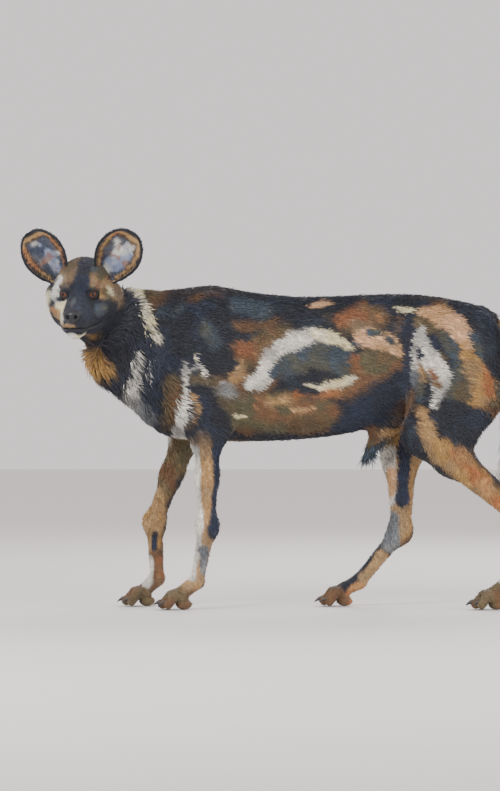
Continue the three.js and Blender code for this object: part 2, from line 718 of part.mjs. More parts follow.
function lock(root, along, out, length, width, bend) {
  const across = out.clone().cross(along).normalize();
  const off = along.clone().cross(across).normalize();
  const straight = (t) => root.clone().addScaledVector(along, length * t);
  const at = (t) => straight(t).addScaledVector(off, bend * length * t * Math.abs(t));
  const points = [];
  for (const [t, wide] of LOCK_STATIONS)
    for (const [a, b] of [[-0.5, 0], [0, -0.2], [0.5, 0], [0, 0.24]])
      points.push(at(t).addScaledVector(across, a * wide * width).addScaledVector(off, b * wide * width));
  points.push(at(1));
  const faces = [0, 2, 1, 0, 3, 2];
  for (let ring = 0; ring < 2; ring++)
    for (let k = 0; k < 4; k++) {
      const [a, b] = [ring * 4 + k, ring * 4 + ((k + 1) % 4)];
      faces.push(a, b, b + 4, a, b + 4, a + 4);
    }
  for (let k = 0; k < 4; k++) faces.push(8 + k, 8 + ((k + 1) % 4), 12);
  const flat = points.flatMap((p) => p.toArray());
  const made = solid(flat, faces);
  if (made.volume() > 0) return made;
  for (let i = 0; i < faces.length; i += 3) [faces[i + 1], faces[i + 2]] = [faces[i + 2], faces[i + 1]];
  return solid(flat, faces);
}

// Small steady differences between one lock and the next
let seed = 7;
const vary = (amount) => {
  seed = (seed * 16807) % 2147483647;
  return 1 + amount * ((2 * seed) / 2147483647 - 1);
};

const TAIL_BANDS = [
  ["tail", 505, 800, "tan"],
  ["tail_brush", 375, 505, "dark"],
  ["tail_tip", -100, 375, "pale"],
];
const BRUSH_LEVELS = 8;
const BRUSH_AROUND = 6;

function brushLocks() {
  const locks = [];
  for (let level = 0; level < BRUSH_LEVELS; level++) {
    const t = 0.36 + (0.64 * level) / (BRUSH_LEVELS - 1);
    const here = TAIL_PATH.getPoint(t);
    const ahead = TAIL_PATH.getTangent(t);
    const side = ahead.clone().cross(v3(0, 1, 0)).normalize();
    const other = ahead.clone().cross(side);
    const around = level === BRUSH_LEVELS - 1 ? 5 : BRUSH_AROUND;
    for (let k = 0; k < around; k++) {
      const turn = (2 * Math.PI * (k + 0.5 * (level % 2))) / around;
      const out = side.clone().multiplyScalar(Math.cos(turn)).addScaledVector(other, Math.sin(turn));
      const root = here.clone().addScaledVector(out, 8);
      const along = ahead.clone().addScaledVector(out, 0.36 * vary(0.3)).normalize();
      const length = (48 + 24 * Math.sin(Math.PI * Math.min(t, 0.8))) * vary(0.15);
      locks.push(lock(root, along, out, length, 21, -0.12));
    }
  }
  return locks;
}

function makeTail() {
  const box = new THREE.Box3(v3(400, -60, 200), v3(560, 60, 700));
  let whole = skin(tailed, box, v3(15, 13, 26)).intersect(tailRegion());
  const belowRoot = block(v3(TAIL_CUT + 6, -200, 0), v3(800, 200, 596));
  for (const one of brushLocks()) whole = whole.add(one.intersect(belowRoot));
  for (const [name, low, high, material] of TAIL_BANDS)
    keep(name, whole.intersect(block(v3(300, -200, low + GAP), v3(700, 200, high))), MATERIALS[material]);
}

// Where a ray from inside the body leaves its skin, drawn back by the given depth
function bodySkin(from, direction, depth) {
  let [inside, outside] = [0, 220];
  for (let i = 0; i < 24; i++) {
    const middle = (inside + outside) / 2;
    if (flesh(from.clone().addScaledVector(direction, middle)) < 0) inside = middle;
    else outside = middle;
  }
  return from.clone().addScaledVector(direction, inside - depth);
}

// Ruff: locks round the lower neck, rooted from behind the jaw down to the breast
const RUFF_ROWS = [[-428, 612], [-408, 580], [-384, 552], [-356, 528], [-326, 506]];
const RUFF_AROUND = [-64, -38, -13, 13, 38, 64];

function ruffLocks() {
  const locks = [];
  RUFF_ROWS.forEach(([x, z], row) => {
    for (const degrees of RUFF_AROUND) {
      const a = THREE.MathUtils.degToRad(degrees + (row % 2 ? 12 : -2));
      const out = v3(-0.5 * Math.cos(a), Math.sin(a), -0.85 * Math.cos(a)).normalize();
      const root = bodySkin(v3(x, -6, z), out, 3);
      const along = v3(0.62, 0, -0.8).addScaledVector(out, 0.16).normalize();
      locks.push(lock(root, along, out, 46 * vary(0.2), 24, 0.02));
    }
  });
  return locks;
}

function bellyLocks() {
  const locks = [];
  for (let k = 0; k < 9; k++) {
    const turn = (2 * Math.PI * k) / 9;
    const root = v3(158 + 14 * Math.cos(turn), 11 * Math.sin(turn), 366);
    const out = v3(Math.cos(turn), Math.sin(turn), -0.3).normalize();
    const along = v3(-0.3, 0, -1).addScaledVector(out, 0.18).normalize();
    locks.push(lock(root, along, out, 48 * vary(0.2), 15, 0));
  }
  return locks;
}

makeTorso();
makeNeck();
makeHead();
makeTail();
for (const [name, leg] of Object.entries(LEGS)) makeLeg(name, leg);

// The scene graph: one named mesh for each node, about the part's own origin
// Corners that two sheets of one surface share are drawn a little inwards, so that the sheets part there
const PARTING = 0.03;

function part(geometry) {
  const { position, normal } = geometry.attributes;
  const seen = new Set();
  for (let i = 0; i < position.count; i++) {
    const p = v3(0, 0, 0).fromBufferAttribute(position, i);
    const key = p.toArray().map((c) => c.toFixed(3)).join();
    if (seen.has(key)) {
      p.addScaledVector(v3(0, 0, 0).fromBufferAttribute(normal, i), -PARTING);
      position.setXYZ(i, p.x, p.y, p.z);
    }
    seen.add(key);
  }
}

function meshOf(name, { shape, material }) {
  const { vertProperties, triVerts, numProp, numVert } = shape.getMesh();
  const positions = new Float32Array(numVert * 3);
  for (let i = 0; i < numVert; i++) positions.set(vertProperties.subarray(i * numProp, i * numProp + 3), i * 3);
  const geometry = new THREE.BufferGeometry();
  geometry.setAttribute("position", new THREE.BufferAttribute(positions, 3));
  geometry.setIndex(new THREE.BufferAttribute(triVerts, 1));
  geometry.computeVertexNormals();
  part(geometry);
  const mesh = new THREE.Mesh(geometry, material);
  mesh.name = name;
  return mesh;
}

const dog = new THREE.Group();
for (const [name, node] of nodes) dog.add(meshOf(name, node));
dog.position.copy(ORIGIN).negate();

export default dog;
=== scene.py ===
"""African wild dog: skin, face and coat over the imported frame, from named sizes and fields."""

import math

import bpy
import numpy as np
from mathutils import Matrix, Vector


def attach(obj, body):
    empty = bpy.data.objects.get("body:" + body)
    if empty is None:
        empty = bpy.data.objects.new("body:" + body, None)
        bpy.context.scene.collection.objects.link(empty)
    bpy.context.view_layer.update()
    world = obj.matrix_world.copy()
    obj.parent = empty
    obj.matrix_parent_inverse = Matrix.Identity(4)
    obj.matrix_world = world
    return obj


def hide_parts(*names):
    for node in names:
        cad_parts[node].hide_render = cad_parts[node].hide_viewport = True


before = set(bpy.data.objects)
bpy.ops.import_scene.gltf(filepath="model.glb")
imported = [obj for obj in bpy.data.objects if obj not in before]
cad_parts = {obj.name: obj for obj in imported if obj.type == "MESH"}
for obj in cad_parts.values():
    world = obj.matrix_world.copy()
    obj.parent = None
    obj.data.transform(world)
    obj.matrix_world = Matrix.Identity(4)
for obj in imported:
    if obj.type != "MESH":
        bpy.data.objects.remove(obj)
rng = np.random.default_rng(11)

# Sizes, in millimetres in the drawing's frame: the animal faces -X and its left side is towards -Y
WITHERS_HEIGHT = 708
BACK_HEIGHT = 690
CHEST_FLOOR = 362
CHEST_HALF_WIDTH = 79
STANCE = 68
HEAD_YAW = math.radians(82)
HEAD_PITCH = math.radians(-12)
EYE_LEVEL = 686
EYE_RADIUS = 13
EAR_HEIGHT = 120
EAR_WIDTH = 98
TAIL_LENGTH = 370
TAIL_HALF_WIDTH = 44
ORIGIN = np.array([-46.0, -46.0, 0.0])
# The picture's scale in millimetres a pixel, and the pixel at the drawing's origin
PIXEL = 2.2
PICTURE_ORIGIN = (300, 608)
# How deep the skin lies under the coat's outside
BODY_COAT = 4.0
LEG_COAT = 1.6
HEAD_COAT = 1.0


def to_row(points):
    return (np.asarray(points, float) - ORIGIN) / 1000


def vec(x, y, z):
    return np.array([x, y, z], float)


def lerp(a, b, t):
    return a + (b - a) * t


def share(x, low, high):
    """How far x is on its way from low to high, from 0 to 1."""
    return np.clip((x - low) / (high - low), 0, 1)


def smoothstep(x, low, high):
    t = share(x, low, high)
    return t * t * (3 - 2 * t)


def unit(v):
    v = np.asarray(v, float)
    return v / np.maximum(np.linalg.norm(v, axis=-1, keepdims=True), 1e-9)


# Field building blocks: each gives roughly the distance to its surface, negative inside
def limb(a, b, radius_a, radius_b, flat=1.0):
    axis = b - a
    length2 = axis @ axis

    def field(p):
        q = p - a
        t = np.clip(q @ axis / length2, 0, 1)
        q = q - t[:, None] * axis
        q[:, 1] /= flat
        return np.sqrt(np.einsum("ij,ij->i", q, q)) - lerp(radius_a, radius_b, t)

    return field


def muscle(centre, half, pitch=0.0):
    c, s = math.cos(pitch), math.sin(pitch)

    def field(p):
        d = p - centre
        x = (d[:, 0] * c - d[:, 2] * s) / half[0]
        y = d[:, 1] / half[1]
        z = (d[:, 0] * s + d[:, 2] * c) / half[2]
        k0 = np.sqrt(x * x + y * y + z * z)
        k1 = np.sqrt((x / half[0]) ** 2 + (y / half[1]) ** 2 + (z / half[2]) ** 2)
        return k0 * (k0 - 1) / np.maximum(k1, 1e-9)

    return field


def join(width, a, b):
    h = np.maximum(width - np.abs(a - b), 0) / width
    return np.minimum(a, b) - h * h * width / 4


def blend(width, *fields):
    def field(p):
        d = fields[0](p)
        for other in fields[1:]:
            d = join(width, d, other(p))
        return d

    return field


def profile(rows):
    table = np.array(rows, float)
    x = table[:, 0]
    slopes = np.empty_like(table)
    slopes[1:-1] = (table[2:] - table[:-2]) / (x[2:] - x[:-2])[:, None]
    slopes[0] = (table[1] - table[0]) / (x[1] - x[0])
    slopes[-1] = (table[-1] - table[-2]) / (x[-1] - x[-2])

    def read(at):
        at = np.clip(at, x[0], x[-1])
        i = np.clip(np.searchsorted(x, at) - 1, 0, len(x) - 2)
        span = x[i + 1] - x[i]
        t = ((at - x[i]) / span)[:, None]
        a, b = table[i], table[i + 1]
        ma, mb = slopes[i] * span[:, None], slopes[i + 1] * span[:, None]
        t2, t3 = t * t, t * t * t
        out = (2 * t3 - 3 * t2 + 1) * a + (t3 - 2 * t2 + t) * ma + (3 * t2 - 2 * t3) * b + (t3 - t2) * mb
        return out[:, 1], out[:, 2], out[:, 3]

    return read


# Trunk: top line, under line and half width from the breast to the rump
TRUNK = profile([
    [-335, 560, 470, 12],
    [-318, 620, 425, 42],
    [-285, 668, 393, 60],
    [-230, 703, 371, 72],
    [-165, WITHERS_HEIGHT, CHEST_FLOOR, CHEST_HALF_WIDTH - 4],
    [-90, 698, CHEST_FLOOR, CHEST_HALF_WIDTH + 1],
    [-10, BACK_HEIGHT, 366, CHEST_HALF_WIDTH + 4],
    [70, BACK_HEIGHT + 1, 374, CHEST_HALF_WIDTH],
    [140, 694, 388, 76],
    [210, 696, 412, 68],
    [280, 692, 444, 64],
    [340, 681, 480, 56],
    [390, 658, 522, 42],
    [418, 632, 560, 28],
    [432, 606, 588, 10],
])
TRUNK_SQUARENESS = 2.15


def trunk(p):
    top, under, half = TRUNK(p[:, 0])
    past = np.maximum(np.maximum(-335 - p[:, 0], p[:, 0] - 432), 0)
    tall = np.maximum((top - under) / 2, 6)
    y = np.abs(p[:, 1]) / np.maximum(half, 6)
    z = np.abs(p[:, 2] - (top + under) / 2) / tall
    n = TRUNK_SQUARENESS
    across = ((y**n + z**n) ** (1 / n) - 1) * np.minimum(half, tall)
    return np.where(past > 0, np.hypot(np.maximum(across, 0), past), across)


# Legs: their joints from the top down, as (x, z); the left legs are towards -Y
JOINTS = ("shoulder", "knee", "wrist", "ankle", "toe")


def leg_of(side, *places):
    return dict(zip(JOINTS, places), side=side)


LEGS = {
    "foreleg_left": leg_of(-1, (-262, 515), (-204, 385), (-203, 182), (-226, 62), (-262, 20)),
    "foreleg_right": leg_of(1, (-278, 515), (-250, 385), (-322, 188), (-316, 62), (-346, 20)),
    "hindleg_left": leg_of(-1, (345, 585), (268, 385), (474, 205), (452, 58), (420, 20)),
    "hindleg_right": leg_of(1, (345, 585), (222, 395), (222, 165), (132, 55), (92, 20)),
}


def joint(leg, name, spread=STANCE):
    return vec(leg[name][0], leg["side"] * spread, leg[name][1])


def foreleg(leg):
    shoulder = joint(leg, "shoulder", 66)
    elbow = joint(leg, "knee", 70)
    wrist = joint(leg, "wrist")
    ankle = joint(leg, "ankle")
    blade = vec(-205, leg["side"] * 52, 640)
    return blend(
        22,
        blend(
            40,
            limb(blade, shoulder, 42, 48, 0.62),
            limb(shoulder, elbow, 56, 40, 0.6),
            muscle(vec(elbow[0] + 8, elbow[1], elbow[2] + 62), (46, 26, 68), -0.35),
        ),
        limb(elbow, lerp(elbow, wrist, 0.5), 35, 23, 0.78),
        limb(lerp(elbow, wrist, 0.45), wrist, 24, 18, 0.85),
        muscle(wrist, (21, 17, 25)),
        limb(wrist, ankle, 17.5, 16, 0.95),
    )


def hindleg(leg):
    hip = joint(leg, "shoulder", 44)
    knee = joint(leg, "knee", 74)
    hock = joint(leg, "wrist")
    ankle = joint(leg, "ankle")
    calf = lerp(knee, hock, 0.3)
    buttock = vec(hip[0] + 48, leg["side"] * 50, hip[2] - 100)
    return blend(
        24,
        blend(
            50,
            limb(hip, knee, 82, 50, 0.5),
            limb(hip + vec(30, 0, -10), buttock, 62, 52, 0.6),
            limb(buttock, calf, 50, 34, 0.6),
        ),
        limb(knee, calf, 42, 36, 0.66),
        limb(calf, hock, 33, 17, 0.72),
        limb(calf + vec(16, 0, 8), hock + vec(11, 0, 10), 18, 8, 0.7),
        muscle(hock, (23, 16, 24)),
        limb(hock, ankle, 18, 16.5, 0.9),
    )


# Paws: a pastern, a low heel pad and four arched toes
TOE_FAN = (-22, -8, 8, 22)
TOE_REACH = (26, 38, 38, 26)


def toe_tip(leg, k):
    return joint(leg, "toe") + vec(-TOE_REACH[k], TOE_FAN[k], -8)


def paw(leg):
    ankle = joint(leg, "ankle")
    toe = joint(leg, "toe")
    heel = limb(ankle, toe + vec(0, 0, 14), 17, 17, 1.1)
    pad = muscle(toe + vec(8, 0, -9), (19, 21, 12))
    toes = []
    for k, side in enumerate(TOE_FAN):
        root = toe + vec(2, side * 0.62, 8)
        knuckle = toe + vec(-TOE_REACH[k] / 2, side * 0.92, 12)
        tip = toe_tip(leg, k)
        toes.append(blend(4, limb(root, knuckle, 12, 12.5, 0.84), limb(knuckle, tip, 12.5, 11.5, 0.84)))
    return blend(9, blend(14, heel, pad), blend(3.5, *toes))


# Head, drawn in its own frame: x forward, y to the animal's left, z up, from midway between the eyes
HEAD = vec(-480, -100, EYE_LEVEL)


def turn_z(a):
    return np.array([[math.cos(a), -math.sin(a), 0], [math.sin(a), math.cos(a), 0], [0, 0, 1]])


def turn_y(a):
    return np.array([[math.cos(a), 0, math.sin(a)], [0, 1, 0], [-math.sin(a), 0, math.cos(a)]])


HEAD_TURN = turn_z(math.pi + HEAD_YAW) @ turn_y(-HEAD_PITCH)


def from_head(p):
    return np.asarray(p) @ HEAD_TURN.T + HEAD


def into_head(p):
    return (np.asarray(p) - HEAD) @ HEAD_TURN


def head_shape():
    def both(make):
        return [make(1), make(-1)]

    skull = blend(
        26,
        muscle(vec(-58, 0, 16), (62, 58, 56)),
        muscle(vec(-18, 0, 22), (40, 46, 34)),
        *both(lambda s: muscle(vec(-44, s * 48, -28), (44, 27, 44))),
        *both(lambda s: limb(vec(-50, s * 62, -8), vec(2, s * 44, -27), 17, 15)),
    )
    muzzle = blend(
        16,
        limb(vec(-8, 0, -20), vec(74, 0, -33), 34, 23, 0.98),
        *both(lambda s: limb(vec(0, s * 21, -42), vec(70, s * 13, -47), 25, 17)),
        muscle(vec(80, 0, -36), (17, 19, 16)),
    )
    jaw = blend(
        14,
        limb(vec(-4, 0, -68), vec(70, 0, -70), 20, 14, 1.2),
        *both(lambda s: limb(vec(-62, s * 42, -54), vec(8, s * 24, -68), 24, 16)),
    )
    brows = both(lambda s: muscle(vec(3, s * 31, 20), (20, 22, 11)))
    return blend(12, blend(20, skull, muzzle), jaw, *brows)


head_local = head_shape()


def head(p):
    return head_local(into_head(p))


NAPE = vec(-440, 6, 682)
neck = blend(
    40,
    limb(vec(-225, 0, 560), vec(-340, -2, 588), 128, 104, 0.66),
    limb(vec(-340, -2, 588), NAPE + vec(0, 0, -40), 102, 66, 0.74),
    limb(vec(-268, 0, 480), vec(-400, -10, 550), 92, 60, 0.7),
)


def spline(points, t):
    """Points on a smooth curve through the given ones, t from 0 to 1."""
    points = np.asarray(points, float)
    last = len(points) - 1
    t = np.atleast_1d(np.asarray(t, float)) * last
    i = np.minimum(t.astype(int), last - 1)
    f = (t - i)[:, None]
    p0, p1, p2, p3 = (points[np.clip(i + k, 0, last)] for k in (-1, 0, 1, 2))
    return 0.5 * (
        2 * p1 + (p2 - p0) * f + (2 * p0 - 5 * p1 + 4 * p2 - p3) * f**2 + (3 * p1 - p0 - 3 * p2 + p3) * f**3
    )


TAIL_PATH = [
    (398, 0, 640), (432, 0, 622), (462, 2, 560), (480, 3, 470), (484, 2, 380), (474, 0, 660 - TAIL_LENGTH),
]
TAIL_BONE = (22, 19, 16, 13, 11, 9, 8, 6, 4)


def tail_bone():
    last = len(TAIL_BONE) - 1
    at = spline(TAIL_PATH, np.linspace(0, 1, last + 1))
    return blend(8, *[limb(at[i], at[i + 1], TAIL_BONE[i], TAIL_BONE[i + 1], 0.95) for i in range(last)])


# The whole animal, by parts that run into each other
forelegs = [foreleg(LEGS[name]) for name in ("foreleg_left", "foreleg_right")]
hindlegs = [hindleg(LEGS[name]) for name in ("hindleg_left", "hindleg_right")]
sheath = limb(vec(196, 0, 408), vec(146, 0, 342), 22, 8, 0.7)
body = blend(38, blend(46, trunk, neck), *forelegs, *hindlegs, sheath)
flesh = blend(24, body, head)
whole = blend(10, blend(26, flesh, tail_bone()), *[paw(leg) for leg in LEGS.values()])


# Meshing: surface nets on a fine grid, worked out only near the surface and then drawn onto it
CORNERS = [(a, b, c) for a in (0, 1) for b in (0, 1) for c in (0, 1)]
ROUGH = 4
BATCH = 400000


def gradient(field, p, h=0.6):
    out = np.empty_like(p)
    for k in range(3):
        step = np.zeros(3)
        step[k] = h
        out[:, k] = (field(p + step) - field(p - step)) / (2 * h)
    return out


def refined(grid):
    for axis in range(3):
        grid = np.repeat(grid, ROUGH, axis)
    return grid


def surface(field, low, high, cell, settle=2):
    """Points and four-cornered faces of a field's surface within a box."""
    low, high = np.asarray(low, float), np.asarray(high, float)
    rough = cell * ROUGH
    n = np.ceil((high - low) / rough).astype(int)
    axes = [low[k] + rough * (np.arange(n[k]) + 0.5) for k in range(3)]
    middles = np.stack(np.meshgrid(*axes, indexing="ij"), -1).reshape(-1, 3)
    d = field(middles).reshape(n)
    near = np.abs(d) < rough * 1.7
    values = refined(d.astype(np.float32))
    fine = np.argwhere(refined(near))
    # Exact values on the fine grid near the surface, and the box's own faces kept outside it
    for start in range(0, len(fine), BATCH):
        some = fine[start:start + BATCH]
        values[some[:, 0], some[:, 1], some[:, 2]] = field(low + some * cell)
    for k in range(3):
        edge = [slice(None)] * 3
        for end in (0, -1):
            edge[k] = end
            values[tuple(edge)] = np.maximum(values[tuple(edge)], 0.1)
    # One point in each cell that the surface crosses, at the middle of its edges' crossings
    inside = values < 0
    m = np.array(values.shape)
    total = sum(inside[a:m[0] - 1 + a, b:m[1] - 1 + b, c:m[2] - 1 + c].astype(np.int8) for a, b, c in CORNERS)
    cells = np.argwhere((total > 0) & (total < 8))
    number = np.full(m - 1, -1, np.int64)
    number[tuple(cells.T)] = np.arange(len(cells))
    sums = np.zeros((len(cells), 3))
    counts = np.zeros(len(cells))
    for a in CORNERS:
        for k in range(3):
            if a[k]:
                continue
            b = list(a)
            b[k] = 1
            va = values[tuple((cells + a).T)].astype(float)
            vb = values[tuple((cells + b).T)].astype(float)
            cut = (va < 0) != (vb < 0)
            t = np.where(cut, va / np.where(cut, va - vb, 1), 0)
            at = np.array(a, float) + t[:, None] * (np.array(b, float) - a)
            sums += at * cut[:, None]
            counts += cut
    points = low + (cells + sums / counts[:, None]) * cell
    # The points drawn onto the surface
    for _ in range(settle):
        g = gradient(field, points)
        off = -field(points)[:, None] * g / np.maximum(np.einsum("ij,ij->i", g, g), 0.3)[:, None]
        points += np.clip(off, -0.45 * cell, 0.45 * cell)
    # A face across each edge of the grid that the surface crosses
    quads = []
    for k in range(3):
        i, j = (k + 1) % 3, (k + 2) % 3
        upper = [slice(None)] * 3
        lower = [slice(None)] * 3
        upper[k], lower[k] = slice(1, None), slice(None, -1)
        cut = np.argwhere(inside[tuple(lower)] != inside[tuple(upper)])
        cut = cut[(cut[:, i] > 0) & (cut[:, j] > 0) & (cut[:, i] < m[i] - 1) & (cut[:, j] < m[j] - 1)]
        facing = inside[tuple(cut.T)]
        ei, ej = np.eye(3, dtype=int)[[i, j]]
        ring = np.stack([number[tuple((cut - a).T)] for a in (ei + ej, ej, 0, ei)], 1)
        ring[~facing] = ring[~facing][:, ::-1]
        quads.append(ring)
    return points, np.concatenate(quads)


def pick(points, quads, keep):
    """The quads that keep is true of, with only the points they use."""
    quads = quads[keep]
    used, quads = np.unique(quads, return_inverse=True)
    return points[used], quads.reshape(-1, 4)


# Noise, the same for any run: a smooth random value from 0 to 1 at each point
def lattice(cells, seed):
    h = cells.astype(np.uint64) * np.array([73856093, 19349663, 83492791], np.uint64)
    h = h[:, 0] ^ h[:, 1] ^ h[:, 2] ^ np.uint64(seed * 2654435761 % 2**32)
    h = (h ^ (h >> np.uint64(15))) * np.uint64(2246822519) & np.uint64(0xFFFFFFFF)
    h = (h ^ (h >> np.uint64(13))) * np.uint64(3266489917) & np.uint64(0xFFFFFFFF)
    return (h ^ (h >> np.uint64(16))).astype(float) / 2**32


def noise(p, size, seed=0, octaves=3):
    total, weight, reach = 0.0, 1.0, 0.0
    for octave in range(octaves):
        q = p / (size / 2**octave) + 500
        base = np.floor(q).astype(np.int64)
        f = q - base
        f = f * f * (3 - 2 * f)
        value = 0
        for corner in CORNERS:
            value = value + np.where(corner, f, 1 - f).prod(1) * lattice(base + corner, seed + octave)
        total = total + weight * value
        reach += weight
        weight *= 0.5
    return total / reach


# Markings: brush strokes on the animal's side in the picture's pixels, each (colour, [(x, y, radius), ...])
def colour(code):
    c = np.array([int(code[i:i + 2], 16) for i in (0, 2, 4)]) / 255
    return np.where(c < 0.04045, c / 12.92, ((c + 0.055) / 1.055) ** 2.4)


INK = colour("161b29")
SLATE = colour("3b4958")
NAVY = colour("1e2a44")
BROWN = colour("66492f")
RUST = colour("8c5b3a")
OLIVE = colour("5c583f")
TAUPE = colour("8a765c")
TAN = colour("b08d5e")
GOLD = colour("b18b50")
ORANGE = colour("aa6a3c")
PEACH = colour("d9b08a")
CREAM = colour("e6dcb4")
WHITE = colour("e6e4de")
GREY = colour("8a8c8e")

# Each colour runs into a second one, as the coat's own patches do
PARTNERS = [
    (INK, NAVY),
    (SLATE, OLIVE),
    (NAVY, INK),
    (BROWN, OLIVE),
    (RUST, OLIVE),
    (OLIVE, RUST),
    (TAUPE, BROWN),
    (TAN, TAUPE),
    (GOLD, TAUPE),
    (ORANGE, TAN),
    (PEACH, TAN),
    (CREAM, WHITE),
    (WHITE, GREY),
    (GREY, SLATE),
]

NEAR_SIDE = [
    (INK, [(210, 310, 16), (300, 305, 12), (420, 304, 8)], 10),
    (SLATE, [(232, 305, 7), (262, 312, 6)], 12),
    (BROWN, [(232, 360, 14), (250, 352, 16), (278, 340, 14)], 12),
    (RUST, [(240, 350, 9), (262, 345, 8), (278, 348, 6)], 9),
    (TAN, [(230, 378, 6), (238, 362, 6)], 8),
    (GREY, [(222, 388, 7), (232, 394, 5)], 9),
    (OLIVE, [(240, 410, 16), (275, 412, 20), (315, 415, 20)], 10),
    (BROWN, [(292, 425, 9), (318, 428, 10)], 9),
    (RUST, [(340, 320, 9), (360, 315, 12), (378, 316, 8)], 10),
    (TAUPE, [(352, 326, 6), (366, 328, 6)], 8),
    (SLATE, [(288, 366, 12), (305, 354, 13), (325, 356, 14), (344, 364, 10)], 5),
    (OLIVE, [(360, 368, 12), (385, 362, 10), (350, 385, 8)], 9),
    (NAVY, [(338, 432, 10), (356, 415, 16), (378, 398, 18), (398, 384, 14)], 9),
    (INK, [(404, 316, 6), (407, 335, 7), (408, 368, 8)], 4),
    (WHITE, [(248, 384, 5), (258, 380, 9), (265, 370, 8)], 3),
    (WHITE, [(264, 370, 8), (268, 358, 8), (278, 348, 8), (292, 340, 9), (304, 335, 8), (311, 330, 4)], 3),
    (CREAM, [(312, 331, 4), (322, 336, 6), (336, 340, 5), (351, 348, 2)], 3),
    (SLATE, [(272, 372, 5), (276, 362, 3)], 3),
    (CREAM, [(303, 384, 2), (315, 388, 3.5), (332, 384, 4), (352, 377, 2)], 2),
    (ORANGE, [(294, 395, 4), (312, 396, 5), (334, 391, 2.5)], 7),
    (TAN, [(268, 402, 5), (284, 398, 4)], 8),
    (PEACH, [(290, 409, 2), (300, 408, 3), (311, 407, 2)], 2),
    (ORANGE, [(247, 343, 3)], 4),
    (CREAM, [(234, 415, 2), (243, 416, 2.4)], 1.5),
    (PEACH, [(308, 306, 1.2), (320, 303, 3), (333, 304, 1)], 2),
    (ORANGE, [(375, 317, 4)], 5),
    (PEACH, [(350, 343, 3), (358, 340, 8), (370, 338, 10), (384, 344, 9), (395, 352, 4)], 3),
    (RUST, [(350, 358, 4), (352, 368, 4)], 4),
    (SLATE, [(368, 333, 3.5), (377, 332, 3)], 1.5),
    (SLATE, [(350, 343, 3), (357, 345, 2)], 1.5),
    (SLATE, [(386, 338, 3), (390, 344, 2.5)], 1.5),
    (CREAM, [(394, 308, 1.5), (402, 310, 3), (410, 309, 2)], 2),
    (PEACH, [(420, 312, 5), (436, 316, 8), (452, 328, 10), (462, 344, 8)], 5),
    (GOLD, [(458, 350, 7), (468, 366, 10), (476, 382, 11), (472, 400, 9)], 7),
    (ORANGE, [(480, 370, 5), (484, 388, 6)], 6),
    (SLATE, [(468, 336, 4), (474, 352, 4)], 3),
    (GREY, [(414, 366, 5), (415, 384, 6)], 4),
    (TAN, [(418, 366, 3), (420, 378, 4)], 4),
    (
        WHITE,
        [(418, 328, 2.5), (418, 342, 6), (424, 356, 9), (436, 372, 10), (438, 384, 8), (431, 404, 4)],
        2.5,
    ),
    (WHITE, [(411, 352, 3), (412, 366, 3)], 2),
    (NAVY, [(428, 338, 4), (434, 346, 4)], 2),
    (NAVY, [(416, 350, 2.5), (417, 357, 2.5)], 1.5),
    (SLATE, [(418, 386, 4), (416, 396, 4)], 3),
    (RUST, [(428, 370, 3), (434, 384, 3)], 4),
    (SLATE, [(440, 336, 5), (450, 352, 5), (452, 372, 5), (446, 396, 6)], 4),
    (INK, [(440, 404, 8), (446, 425, 8)], 5),
    (INK, [(476, 312, 6), (490, 322, 7), (497, 345, 6), (498, 372, 6)], 5),
    (INK, [(456, 408, 9), (474, 416, 10), (488, 424, 9)], 7),
    (TAN, [(418, 412, 6), (424, 428, 8), (430, 446, 7)], 5),
    (CREAM, [(178, 338, 1.8), (176, 342, 1.5)], 1.5),
    (WHITE, [(184, 322, 1.5), (187, 326, 1.5)], 1.5),
    (INK, [(205, 432, 4), (260, 438, 4), (320, 437, 4), (345, 435, 4)], 3),
]
NEAR_FRONT = [
    (INK, [(112, 320, 26), (140, 350, 34), (160, 340, 36), (190, 335, 34), (215, 360, 20)], 8),
    (INK, [(110, 378, 16), (135, 400, 26), (165, 400, 22), (200, 400, 16), (215, 418, 12)], 8),
    (SLATE, [(160, 312, 6), (178, 306, 5)], 8),
    (SLATE, [(206, 330, 7), (214, 345, 7)], 9),
    (CREAM, [(122, 281, 3), (130, 290, 5), (138, 302, 6), (147, 320, 6), (155, 337, 4)], 3),
    (GOLD, [(86, 350, 8), (98, 358, 9), (108, 364, 7)], 6),
    (WHITE, [(135, 345, 1.5), (134, 358, 4), (131, 372, 6), (129, 384, 8)], 2),
    (WHITE, [(149, 356, 1.1), (147, 364, 1.2), (149, 372, 1.2), (147, 381, 1)], 1),
    (GREY, [(124, 394, 7), (134, 402, 8), (144, 412, 7)], 8),
    (BROWN, [(167, 378, 6), (168, 395, 7), (166, 415, 6)], 8),
    (
        WHITE,
        [(184, 362, 1.5), (181, 378, 5), (179, 394, 6), (178, 412, 6), (176, 432, 7), (180, 445, 6)],
        2.5,
    ),
    (INK, [(177, 378, 1.2), (175, 388, 2), (177, 396, 1.2)], 1.2),
    (TAN, [(192, 397, 5), (194, 408, 5), (191, 418, 4)], 3),
    (CREAM, [(195, 355, 1), (194, 362, 1.6)], 1),
    (WHITE, [(190, 370, 2), (197, 366, 2.2), (203, 371, 2.4), (202, 378, 1.6)], 1.5),
]
